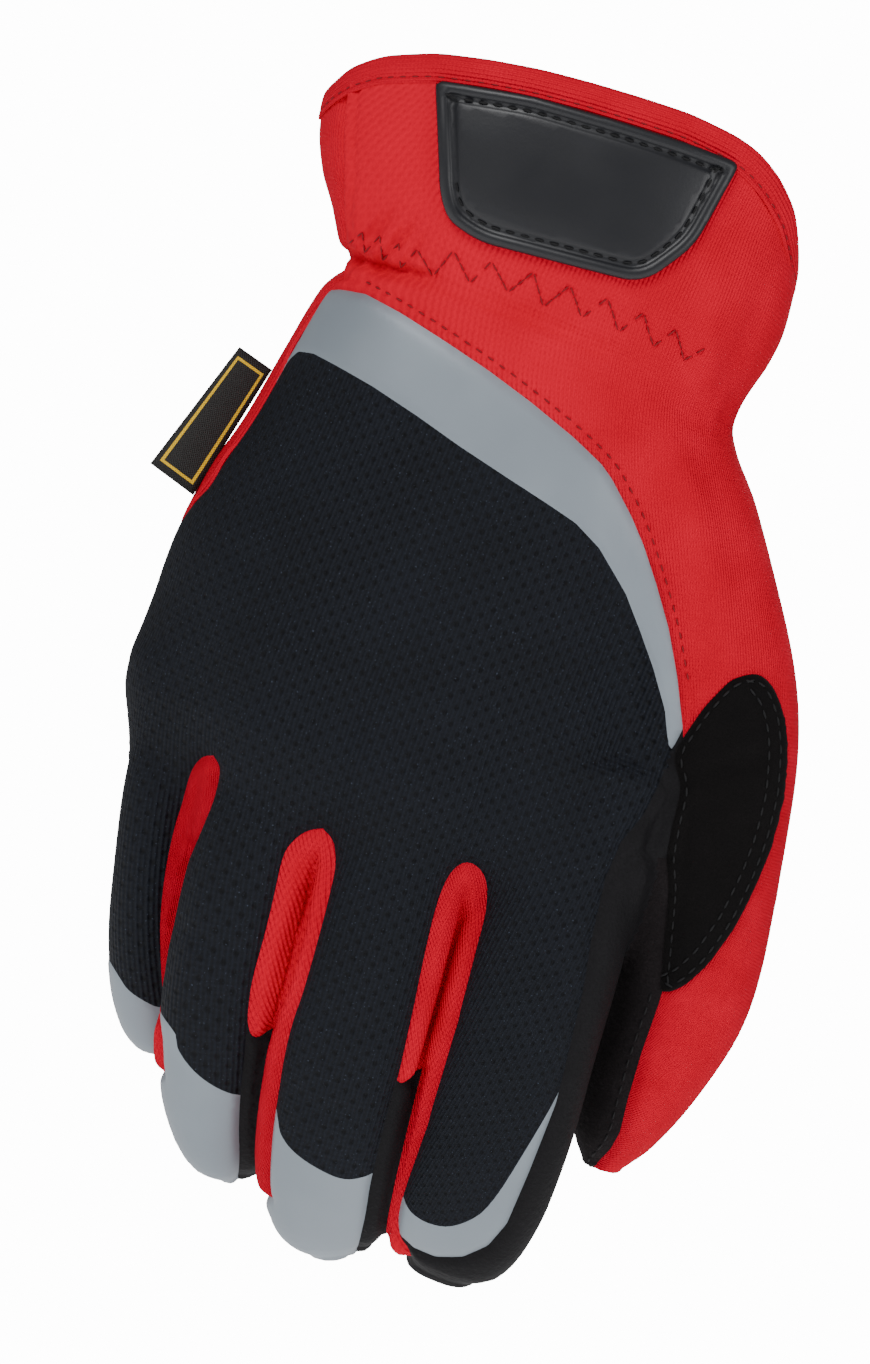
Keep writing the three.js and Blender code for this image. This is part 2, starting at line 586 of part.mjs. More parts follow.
// Finishes, and the pieces that have them
const finishes = {
  knit: { color: 0xd0222c, roughness: 0.85, metalness: 0 },
  mesh: { color: 0x1c1e24, roughness: 0.8, metalness: 0 },
  film: { color: 0x828a92, roughness: 0.4, metalness: 0.1 },
  leather: { color: 0x17171a, roughness: 0.75, metalness: 0 },
  suede: { color: 0x1d1a1b, roughness: 0.95, metalness: 0 },
  napped: { color: 0x3a3536, roughness: 0.95, metalness: 0 },
  rubber: { color: 0x2b2c30, roughness: 0.5, metalness: 0 },
  ribbon: { color: 0x202024, roughness: 0.7, metalness: 0 },
};
const finishOf = {
  gauntlet_back: "knit", gauntlet_palm: "knit", cuff_hem: "knit", fourchette_index: "knit",
  fourchette_middle: "knit", fourchette_ring: "knit", back_panel: "mesh", reflective_yoke: "film",
  tip_film_index: "film", tip_film_middle: "film", tip_film_ring: "film", tip_film_little: "film",
  palm_panel: "leather", saddle_patch: "suede", thumb_palm: "napped", cuff_badge: "rubber", side_label: "ribbon",
};

const glove = new THREE.Group();
for (const [name, solid] of Object.entries(solids)) {
  const mesh = new THREE.Mesh(geometryOf(solid), new THREE.MeshStandardMaterial(finishes[finishOf[name]]));
  mesh.name = name;
  glove.add(mesh);
}
export default glove;
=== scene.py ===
import math
import bpy
import bmesh
import numpy as np
from mathutils import Matrix, Vector
from mathutils.bvhtree import BVHTree
from mathutils.kdtree import KDTree


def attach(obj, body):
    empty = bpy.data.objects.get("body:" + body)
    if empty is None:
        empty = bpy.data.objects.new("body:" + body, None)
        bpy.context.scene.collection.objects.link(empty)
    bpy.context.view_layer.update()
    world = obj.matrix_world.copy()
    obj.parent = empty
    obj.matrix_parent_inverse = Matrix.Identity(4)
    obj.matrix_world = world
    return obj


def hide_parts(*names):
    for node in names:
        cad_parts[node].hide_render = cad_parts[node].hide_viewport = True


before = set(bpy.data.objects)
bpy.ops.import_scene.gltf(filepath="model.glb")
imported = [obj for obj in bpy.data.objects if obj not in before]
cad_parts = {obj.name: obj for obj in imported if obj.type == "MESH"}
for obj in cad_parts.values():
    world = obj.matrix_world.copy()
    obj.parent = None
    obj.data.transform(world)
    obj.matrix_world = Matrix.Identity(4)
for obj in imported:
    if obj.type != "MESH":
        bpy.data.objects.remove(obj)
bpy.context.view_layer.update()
print("frame loaded:", len(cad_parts), "solids")

# All sizes are in millimetres until a mesh is made. X is the thumb side, +Y the palm, Z up.
gloveForm = {
    "cuffWidth": 98.0, "cuffDepth": 62.0, "cuffLength": 34.0, "wristWidth": 82.0, "wristDepth": 49.0,
    "palmWidth": 105.0, "palmDepth": 42.0, "handLength": 106.0,
    "bodySquareness": 2.35, "fingerSquareness": 2.5, "thumbSquareness": 2.2,
    "wall": 1.4,                 # thickness of the cloth
    "fingerGap": 1.3,            # crevice between fingers that press on each other
    "crotchFillet": 4.0,         # how softly the fingers grow out of the hand
    "knuckleFillet": 16.0,
    "thumbFillet": 9.0,
    "grid": 1.1,   # spacing of the sampled form
    "relaxSteps": 3,
    "sampledBox": ((-62.0, -40.0, -228.0), (100.0, 68.0, 26.0)),
    # how far from a tube's middle line it is measured, and the distance taken beyond that
    "fingerReach": (28.0, 20.0), "thumbReach": (34.0, 30.0),
}
fingerSizes = {
    "index": {"length": 78, "width": 31.4, "depth": 26, "across": 0.455, "deep": -0.12,
              "lean": 5, "turn": -7, "flex": 6, "curl": 26},
    "middle": {"length": 84, "width": 29, "depth": 26, "across": 0.157, "deep": -0.165,
               "lean": 3, "turn": 20, "flex": 6, "curl": 29},
    "ring": {"length": 79, "width": 24.4, "depth": 24, "across": -0.105, "deep": -0.06,
             "lean": 4, "turn": 30, "flex": 7, "curl": 32},
    "little": {"length": 59, "width": 20, "depth": 20, "across": -0.29, "deep": 0.26,
               "lean": 11, "turn": 16, "flex": 8, "curl": 32},
}
thumbSizes = {"length": 158, "width": 31, "depth": 28, "across": 0.33, "deep": -0.05, "down": 0.03}

# down, left, right, front, back as shares of the cuff's sizes
cuffRows = [
    (-0.72, -0.49, 0.5, 0.5, 0.5), (0.06, -0.496, 0.505, 0.498, 0.498), (0.29, -0.484, 0.52, 0.49, 0.49),
    (0.53, -0.449, 0.527, 0.47, 0.47), (0.71, -0.405, 0.52, 0.44, 0.44), (0.87, -0.37, 0.505, 0.41, 0.41),
]
wristRow = (-0.409, 0.588, 0.49, 0.49)
# down, left, right, front, back, archLeft, archRight as shares of the palm's sizes
handRows = [
    (0.06, -0.345, 0.443, 0.57, 0.56, 0.02, 0), (0.18, -0.37, 0.46, 0.57, 0.54, 0.07, 0.03),
    (0.32, -0.396, 0.476, 0.57, 0.52, 0.13, 0.06), (0.45, -0.43, 0.495, 0.57, 0.5, 0.2, 0.09),
    (0.58, -0.45, 0.515, 0.565, 0.48, 0.27, 0.11), (0.71, -0.448, 0.532, 0.55, 0.45, 0.34, 0.12),
    (0.83, -0.435, 0.545, 0.52, 0.4, 0.4, 0.12), (0.93, -0.4, 0.545, 0.46, 0.34, 0.42, 0.1),
    (1, -0.37, 0.53, 0.36, 0.24, 0.42, 0.08), (1.08, -0.35, 0.51, 0.22, 0.1, 0.42, 0.08),
]
# along, width, depth
fingerRows = [
    (-0.35, 0.74, 0.5), (-0.15, 0.93, 0.84), (0.1, 1.01, 0.98), (0.32, 1, 1), (0.54, 1.02, 0.98),
    (0.73, 1, 0.93), (0.86, 0.92, 0.84), (0.95, 0.77, 0.67), (1, 0.5, 0.42),
]
# along, width, depth, lean, flex
thumbRows = [
    (0, 0.4, 0.62, 24, 2), (0.15, 0.98, 1.16, 27, 3), (0.27, 1.1, 1.24, 30, 4), (0.39, 1.16, 1.2, 24, 8),
    (0.52, 1.1, 1.1, 14, 12), (0.64, 1.03, 1.02, 13, 14), (0.74, 0.97, 0.96, 7, 14), (0.82, 0.86, 0.9, -5, 14),
    (0.9, 0.71, 0.78, -6, 14), (0.96, 0.52, 0.56, 0, 14), (1, 0.26, 0.28, 4, 14),
]
# down, across, deep, width, depth
webRows = [
    (0.1, 0.36, -0.1, 0.1, 0.5), (0.25, 0.44, -0.04, 0.19, 0.72), (0.42, 0.5, 0.02, 0.23, 0.72),
    (0.58, 0.55, 0.08, 0.21, 0.6), (0.69, 0.575, 0.14, 0.15, 0.42), (0.75, 0.585, 0.18, 0.07, 0.2),
]
wristZ = -gloveForm["cuffLength"]
slotZ = wristZ - gloveForm["handLength"]


def frontX(share):
    return share * gloveForm["palmWidth"]


def frontZ(share):
    return wristZ - share * gloveForm["handLength"]


def smoothColumns(rows, steps):
    # monotone cubic through the rows, so that no profile overshoots its table
    table = np.array(rows, float)
    x, y = table[:, 0], table[:, 1:]
    h = np.diff(x)[:, None]
    slope = np.diff(y, axis=0) / h
    tangent = np.zeros_like(y)
    same = slope[:-1] * slope[1:] > 0
    w1, w2 = 2 * h[1:] + h[:-1], h[1:] + 2 * h[:-1]
    with np.errstate(divide="ignore", invalid="ignore"):
        mean = (w1 + w2) / (w1 / slope[:-1] + w2 / slope[1:])
    tangent[1:-1] = np.where(same, mean, 0)
    tangent[0], tangent[-1] = slope[0], slope[-1]
    at = np.linspace(x[0], x[-1], steps)
    i = np.clip(np.searchsorted(x, at) - 1, 0, len(x) - 2)
    t = ((at - x[i]) / h[i, 0])[:, None]
    out = (y[i] * (1 + 2 * t) * (1 - t) ** 2 + y[i + 1] * t * t * (3 - 2 * t)
           + h[i] * (tangent[i] * t * (1 - t) ** 2 - tangent[i + 1] * t * t * (1 - t)))
    return at, out


def unit(v):
    return v / np.linalg.norm(v, axis=-1, keepdims=True)


def runLength(line):
    # the length of a line up to each of its points
    return np.concatenate([[0], np.cumsum(np.linalg.norm(np.diff(line, axis=0), axis=1))])


def atLengths(line, length, t):
    return np.stack([np.interp(t, length, line[:, k]) for k in range(line.shape[1])], 1)


def evened(line, rounds):
    # smooths a line in place, its two ends kept
    for _ in range(rounds):
        line[1:-1] = (line[:-2] + 2 * line[1:-1] + line[2:]) / 4
    return line


def ringed(line):
    # a line led back to its first point
    return np.vstack([line, line[:1]])


def ringTangent(path):
    return unit(np.roll(path, -1, 0) - np.roll(path, 1, 0))


def usedOnly(faces):
    # the numbers of the points in the given faces, and the faces counted in those points alone
    used, local = np.unique(faces, return_inverse=True)
    return used, local.reshape(-1, 3)


def openEdges(faces):
    # edges that only one face has, in the faces' own direction
    directed = np.vstack([faces[:, [0, 1]], faces[:, [1, 2]], faces[:, [2, 0]]])
    key = set(map(tuple, directed.tolist()))
    return [(a, b) for a, b in sorted(key) if (b, a) not in key]


def bentTube(root, along, leanAt, flexAt, length, halfWidth, halfDepth, squareness):
    # a tube whose middle line leans to the thumb side and bends to the palm as it goes down
    lean, flex = np.radians(leanAt), np.radians(flexAt)
    down = unit(np.stack([np.sin(lean), np.sin(flex), -np.cos(lean) * np.cos(flex)], 1))
    step = np.diff(along)[:, None] * length
    start = root + down[0] * along[0] * length
    centre = np.vstack([start, start + np.cumsum((down[:-1] + down[1:]) / 2 * step, axis=0)])
    deep = unit(np.array([0, 1.0, 0]) - down * down[:, 1:2])
    return {"centre": centre, "down": down, "deep": deep, "across": np.cross(down, deep), "along": along,
            "length": length, "halfWidth": halfWidth, "halfDepth": halfDepth, "power": squareness}


def makeTubes():
    form, tubes = gloveForm, {}
    along, columns = smoothColumns(fingerRows, 60)
    ahead = np.maximum(along, 0)
    for name, size in fingerSizes.items():
        root = np.array([frontX(size["across"]), size["deep"] * form["palmDepth"], slotZ])
        tubes[name] = bentTube(
            root, along, size["lean"] + size["turn"] * np.maximum(along * np.abs(along), 0),
            size["flex"] + size["curl"] * ahead, size["length"], columns[:, 0] * size["width"] / 2,
            columns[:, 1] * size["depth"] / 2, form["fingerSquareness"])
    along, columns = smoothColumns(thumbRows, 80)
    root = np.array([frontX(thumbSizes["across"]), thumbSizes["deep"] * form["palmDepth"], frontZ(thumbSizes["down"])])
    tubes["thumb"] = bentTube(
        root, along, columns[:, 2], columns[:, 3], thumbSizes["length"], columns[:, 0] * thumbSizes["width"] / 2,
        columns[:, 1] * thumbSizes["depth"] / 2, form["thumbSquareness"])
    return tubes


def makeHandTable():
    form = gloveForm
    rows = []
    for down, left, right, front, back in cuffRows:
        w, d = form["cuffWidth"], form["cuffDepth"]
        rows.append((down * form["cuffLength"], left * w, right * w, front * d, back * d, 0, 0))
    left, right, front, back = wristRow
    rows.append((-wristZ, left * form["wristWidth"], right * form["wristWidth"],
                 front * form["wristDepth"], back * form["wristDepth"], 0, 0))
    for down, left, right, front, back, archLeft, archRight in handRows:
        d = form["palmDepth"]
        rows.append((-frontZ(down), frontX(left), frontX(right), front * d, back * d, archLeft * d, archRight * d))
    return smoothColumns(rows, 240)


tubes = makeTubes()
handAt, handColumns = makeHandTable()
webAt, webColumns = smoothColumns(
    [(-frontZ(down), frontX(across), deep * gloveForm["palmDepth"], width * gloveForm["palmWidth"] / 2,
      depth * gloveForm["palmDepth"] / 2) for down, across, deep, width, depth in webRows], 80)


def rayDistance(radius, share):
    # distance to a superellipse along the line from its middle
    share = np.maximum(share, 0.06)
    return radius - radius / share


def handField(p):
    drop = np.clip(-p[:, 2], handAt[0], handAt[-1])
    left, right, front, back, archLeft, archRight = [np.interp(drop, handAt, c) for c in handColumns.T]
    half = (right - left) / 2
    x = p[:, 0] - (left + right) / 2
    a = x / half
    bend = np.where(a < 0, archLeft, archRight) * np.minimum(a * a, 1.6)
    y = p[:, 1] - bend
    past = np.maximum(-p[:, 2] - handAt[-1], 0)
    d = y / np.where(y < 0, front, back)
    n = gloveForm["bodySquareness"]
    share = (np.abs(a) ** n + np.abs(d) ** n + (past / 3) ** n) ** (1 / n)
    return rayDistance(np.sqrt(x * x + y * y + past * past), share), np.arctan2(a, -d)


def webField(p):
    drop = np.clip(-p[:, 2], webAt[0], webAt[-1])
    middle, deep, half, thick = [np.interp(drop, webAt, c) for c in webColumns.T]
    past = -p[:, 2] - drop
    x, y = p[:, 0] - middle, p[:, 1] - deep
    share = np.sqrt((x / half) ** 2 + (y / thick) ** 2 + (past / 4) ** 2)
    return rayDistance(np.sqrt(x * x + y * y + past * past), share)


def tubeField(tube, p):
    # distance to a bent tube, with where along it and at what angle round it each point lies
    count = len(tube["centre"])
    nearest = np.empty(len(p), int)
    for i in range(0, len(p), 40000):
        away = p[i:i + 40000, None, :] - tube["centre"][None]
        nearest[i:i + 40000] = np.argmin(np.einsum("ijk,ijk->ij", away, away), axis=1)
    v = p - tube["centre"][nearest]
    forward = np.einsum("ij,ij->i", v, tube["down"][nearest])
    a = np.einsum("ij,ij->i", v, tube["across"][nearest])
    d = np.einsum("ij,ij->i", v, tube["deep"][nearest])
    along = tube["along"][nearest] + forward / tube["length"]
    past = np.where(nearest == count - 1, np.maximum(forward, 0), np.where(nearest == 0, np.maximum(-forward, 0), 0))
    half = np.interp(along, tube["along"], tube["halfWidth"])
    thick = np.interp(along, tube["along"], tube["halfDepth"])
    n = tube["power"]
    share = (np.abs(a / half) ** n + np.abs(d / thick) ** n + (past / (0.5 * thick)) ** n) ** (1 / n)
    distance = rayDistance(np.sqrt(a * a + d * d + past * past), share)
    return distance, along, np.arctan2(a / half, -d / thick)


def blendedLess(a, b, reach):
    h = np.clip(0.5 + 0.5 * (b - a) / reach, 0, 1)
    return b + (a - b) * h - reach * h * (1 - h)


def blendedMore(a, b, reach):
    return -blendedLess(-a, -b, reach)


fingerOrder = ["index", "middle", "ring", "little"]


def nearTube(tube, p, reach, far):
    # a tube's distance, place and angle near it, and a far distance for all other points
    distance, along, angle = np.full(len(p), far), np.zeros(len(p)), np.zeros(len(p))
    near = np.all((p > tube["centre"].min(0) - reach) & (p < tube["centre"].max(0) + reach), axis=1)
    if near.any():
        distance[near], along[near], angle[near] = tubeField(tube, p[near])
    return distance, along, angle


def fingerFields(p):
    # each finger, pressed flat where it meets its neighbour on the thumb side
    plain = {name: nearTube(tubes[name], p, *gloveForm["fingerReach"]) for name in fingerOrder}
    pressed = {name: plain[name][0] for name in fingerOrder}
    for beside, name in zip(fingerOrder, fingerOrder[1:]):
        pressed[name] = blendedMore(plain[name][0], gloveForm["fingerGap"] - plain[beside][0], 1.2)
    return plain, pressed


def field(p):
    # the whole glove as one signed distance, negative inside
    hand, _ = handField(p)
    total = blendedLess(hand, webField(p), 6.0)
    thumb = nearTube(tubes["thumb"], p, *gloveForm["thumbReach"])[0]
    total = blendedLess(total, thumb, gloveForm["thumbFillet"])
    fillet = np.interp(p[:, 2], [-146, -126], [gloveForm["crotchFillet"], gloveForm["knuckleFillet"]])
    for distance in fingerFields(p)[1].values():
        total = blendedLess(total, distance, fillet)
    return total


def fieldSlope(p, reach=0.35):
    # gradient from the four corners of a small tetrahedron
    corners = np.array([[1, -1, -1], [-1, -1, 1], [-1, 1, -1], [1, 1, 1]], float)
    return sum(k * field(p + k * reach)[:, None] for k in corners) / (4 * reach)


def ontoSurface(p, rounds):
    for _ in range(rounds):
        slope = fieldSlope(p)
        length = np.maximum(np.einsum("ij,ij->i", slope, slope), 0.05)
        p = p - slope * (field(p) / length)[:, None]
    return p


def surfaceNet(step):
    # samples the field on a grid and puts one point in each cell that the surface crosses
    low, high = np.array(gloveForm["sampledBox"])
    size = np.ceil((high - low) / step).astype(int)
    axes = [low[k] + np.arange(size[k]) * step for k in range(3)]
    values = np.empty(size, np.float32)
    for i in range(0, size[0], 8):
        block = np.stack(np.meshgrid(axes[0][i:i + 8], axes[1], axes[2], indexing="ij"), -1)
        values[i:i + 8] = field(block.reshape(-1, 3)).reshape(block.shape[:3])
    inside = values < 0
    cells = sum(inside[i:size[0] - 1 + i, j:size[1] - 1 + j, k:size[2] - 1 + k].astype(np.int8)
                for i in (0, 1) for j in (0, 1) for k in (0, 1))
    place = np.argwhere((cells > 0) & (cells < 8))
    number = np.full(cells.shape, -1)
    number[tuple(place.T)] = np.arange(len(place))
    total, count = np.zeros((len(place), 3)), np.zeros(len(place))
    for axis in range(3):
        others = [k for k in range(3) if k != axis]
        run = np.eye(3, dtype=int)[axis]
        for u in (0, 1):
            for v in (0, 1):
                offset = np.zeros(3, int)
                offset[others[0]], offset[others[1]] = u, v
                a = values[tuple((place + offset).T)]
                b = values[tuple((place + offset + run).T)]
                crossed = (a < 0) != (b < 0)
                share = np.where(crossed, a / np.where(a == b, 1, a - b), 0)
                total += np.where(crossed[:, None], offset + run * share[:, None], 0)
                count += crossed
    points = low + (place + total / count[:, None]) * step
    quads = []
    for axis in range(3):
        u, v = [(1, 2), (2, 0), (0, 1)][axis]
        run = np.eye(3, dtype=int)
        first = inside[tuple(slice(0, size[k] - 1) for k in range(3))]
        second = inside[tuple(slice(1, size[k]) if k == axis else slice(0, size[k] - 1) for k in range(3))]
        edge = np.argwhere(first != second)
        edge = edge[(edge[:, u] > 0) & (edge[:, v] > 0)]
        corner = [number[tuple((edge - back).T)] for back in (run[u] + run[v], run[v], 0 * run[u], run[u])]
        quad = np.stack(corner, 1)
        leaving = inside[tuple(edge.T)]
        quads.append(np.where(leaving[:, None], quad, quad[:, ::-1]))
    return points, np.vstack(quads)


def relaxed(points, quads, rounds):
    # evens out the net along the surface
    pairs = np.vstack([quads[:, [0, 1]], quads[:, [1, 2]], quads[:, [2, 3]], quads[:, [3, 0]]])
    count = np.bincount(pairs.ravel(), minlength=len(points))[:, None]
    for _ in range(rounds):
        middle = np.stack([np.bincount(pairs[:, 0], points[pairs[:, 1], k], len(points))
                           + np.bincount(pairs[:, 1], points[pairs[:, 0], k], len(points)) for k in range(3)], 1)
        points = ontoSurface(points + 0.6 * (middle / count - points), 1)
    return points


# Seam lines as seen from the front, x and z in millimetres
seamLines = {
    "rim": [(-60, -11), (-50, -6.5), (-48, -3.5), (-45, 1), (-40, 4.6), (-30, 8.2), (-20, 10.2), (-10, 11.7), (0, 12.6),
            (10, 13.2), (20, 13.6), (30, 12.8), (35, 11.6), (40, 9), (45, 4.5), (48, -0.5), (50, -5), (60, -10)],
    "yokeTop": [(-46, -41), (-38, -41), (-35, -40), (-33.5, -39.5), (-28, -38.8), (-20, -40.2), (-10, -42.5), (0, -45),
                (10, -48), (20, -51.5), (27, -54.5), (30, -56.5), (36, -62), (40, -66.5), (45, -73), (50, -80),
                (55, -88.5), (59.5, -97.5)],
    "yokeBottom": [(58.8, -103), (55, -95), (50, -88), (45, -82), (40, -76.5), (32, -70), (26, -67), (20, -65.5),
                   (10, -63.2), (0, -60.8), (-10, -58), (-20, -55.5), (-28, -54), (-33, -53.2), (-36, -53.7),
                   (-37.5, -56), (-38.5, -61), (-42, -66), (-50, -66)],
    "backRight": [(61, -90), (59.5, -98), (58.9, -103), (59, -110), (58.5, -115), (56, -122), (55.5, -130), (57, -142),
                  (59, -152), (60, -160), (61, -168), (61.8, -175), (61.5, -190), (61, -201), (59, -206.5),
                  (55, -210.5), (50, -212.5), (45, -212.3), (41, -210.5)],
    # each slot: the outer edge of its two strips, from the crown down, on the little finger's side and the thumb's
    "slotIndexLow": [(30, -136.3), (28.2, -137), (26.7, -140), (26.5, -146), (27.5, -155), (29, -165), (30, -172),
                     (31, -180), (31.2, -185), (32.2, -195), (33.2, -203), (34.5, -210), (36, -222)],
    "slotIndexHigh": [(30, -136.3), (32.3, -137.2), (34.2, -139.8), (35.3, -145), (36, -152), (36.8, -160),
                      (37.7, -170), (38.5, -182), (39, -190), (39.3, -200), (40, -207), (42, -211.5),
                      (44.5, -213.3), (50, -222)],
    "slotMiddleLow": [(0, -140), (-2.8, -141.8), (-4.7, -145.2), (-4.9, -149), (-4.1, -155), (-3.2, -163),
                      (-2.5, -172), (-1.6, -177), (0, -183), (1.5, -189), (3, -195.3), (5, -202), (8, -211), (9, -222)],
    "slotMiddleHigh": [(0, -140), (2.8, -141.8), (4.6, -146), (5.5, -152), (6.3, -160), (7, -170), (7.2, -178),
                       (8, -185), (9.5, -193), (11.5, -202), (14.5, -211), (19, -216), (24, -224)],
    "slotRingLow": [(-25.4, -134), (-27.3, -135.2), (-28.3, -139), (-27.6, -147), (-26.9, -154), (-25.7, -161),
                    (-24, -168), (-22, -174), (-19.5, -180.5), (-16.5, -187), (-14, -193), (-10, -202)],
    "slotRingHigh": [(-25.4, -134), (-23.2, -136), (-22.4, -141), (-22.5, -150), (-22.4, -160), (-21.9, -167),
                     (-22.0, -173), (-20.0, -180), (-17.8, -185), (-15.6, -190), (-13.6, -195), (-10.8, -200),
                     (-6, -205), (0, -212)],
    "filmIndex": [(20, -199), (36, -201.5), (40, -203.5), (43, -205.2), (47, -205.7), (51, -204.5), (55, -200.5),
                  (57, -195), (59, -185), (61.5, -172.5), (64, -165)],
    "filmMiddle": [(0, -191), (8, -194), (11, -196), (13, -199), (17, -201.5), (23, -203), (28, -203), (33, -200.5),
                   (40, -198)],
    "filmRing": [(-30, -178), (-14, -187), (-12, -190), (-8, -193), (-3, -194.8), (3, -195.3), (14, -195)],
    "filmLittle": [(-40, -172), (-28.5, -181), (-25, -183.5), (-20, -184.8), (-17.5, -185), (-8, -186)],
    "thumbSeam": [(66.5, -112), (68.5, -122), (70.5, -128), (72, -136), (73.5, -143), (74, -150), (74.2, -160),
                  (75, -170), (76, -177), (75.5, -181), (73.5, -186)],
    # seen through the glove: the leather's edge on the palm side, below the cuff
    "palmRight": [(38.4, -30), (38.8, -38), (41, -50), (44, -61), (47.5, -76), (53, -91), (59.5, -104), (65.5, -116),
                  (70.5, -128), (74.5, -141), (76.5, -155), (76.8, -170), (76, -188)],
    "cuffLeft": [(-45.5, 8), (-45, -1), (-44.3, -5), (-43, -10), (-40, -18), (-37, -26), (-34.4, -31), (-33.6, -36)],
}
seamLines["aboveYoke"] = seamLines["yokeTop"] + [(62, -104), (66, -112), (90, -112), (120, -60), (120, 80),
                                                 (-120, 80), (-120, -41)]
slotPieces = {"fourchette_index": ("slotIndex", "middle", "index"),
              "fourchette_middle": ("slotMiddle", "ring", "middle"),
              "fourchette_ring": ("slotRing", "little", "ring")}
# how far back each slot is cut
slotDepths = {"fourchette_index": 12, "fourchette_middle": 15, "fourchette_ring": 24}
seamAngles = {"handLeft": -98, "handLeftTop": -72, "littleLeft": -108, "gusset": -130, "cuffRight": 128,
              "cuffLeft": -100, "fingerPalm": 118, "fingerBack": 125}
seamPlaces = {"gussetEnd": -92.0, "wallEndRing": -183.2, "wallEndMiddle": -181.5,
              "stripEnd": {"index": -214.5, "middle": -212.5, "ring": -196.5}, "fingertip": 1.1,
              "tipShare": 0.26,     # length of a finger's end, which the back's cloth wraps all round
              "crotchPalm": 6.7, "thumbPalmStart": 0.56, "waist": -36.5, "palmTop": -37.0}


def curved(line, steps=5):
    # a rounded line through the given corners
    line = np.array(line, float)
    ahead = np.vstack([2 * line[0] - line[1], line, 2 * line[-1] - line[-2]])
    out = []
    for i in range(1, len(ahead) - 2):
        a, b, c, d = ahead[i - 1:i + 3]
        for t in np.arange(steps) / steps:
            out.append(tuple(0.5 * (2 * b + (c - a) * t + (2 * a - 5 * b + 4 * c - d) * t * t
                                    + (3 * b - a - 3 * c + d) * t ** 3)))
    return out + [tuple(line[-1])]


for name in list(seamLines):
    if name.startswith("slot") or name.startswith("film"):
        seamLines[name] = curved(seamLines[name])


def alongLine(points, value, column=0):
    table = np.array(sorted(points, key=lambda p: p[column]), float)
    return np.interp(value, table[:, column], table[:, 1 - column])


def toPolyline(x, z, points, closed=False):
    # distance to a front-view line, where along it the nearest point lies, and whether a closed one holds the point
    line = np.array(points + points[:1] if closed else points, float)
    best = np.full(len(x), 1e9)
    place = np.zeros(len(x))
    inside = np.zeros(len(x), bool)
    run = 0.0
    for (x0, z0), (x1, z1) in zip(line[:-1], line[1:]):
        length = math.hypot(x1 - x0, z1 - z0)
        t = np.clip(((x - x0) * (x1 - x0) + (z - z0) * (z1 - z0)) / length ** 2, 0, 1)
        away = np.hypot(x - x0 - t * (x1 - x0), z - z0 - t * (z1 - z0))
        closer = away < best
        best = np.where(closer, away, best)
        place = np.where(closer, run + t * length, place)
        if closed:
            crossing = ((z0 > z) != (z1 > z)) & (x < (x1 - x0) * (z - z0) / (z1 - z0 + 1e-12) + x0)
            inside ^= crossing
        run += length
    return best, place / run, inside


def signedTo(x, z, outline):
    # distance to a closed front-view outline, negative inside
    away, _, inside = toPolyline(x, z, outline, closed=True)
    return np.where(inside, -away, away)


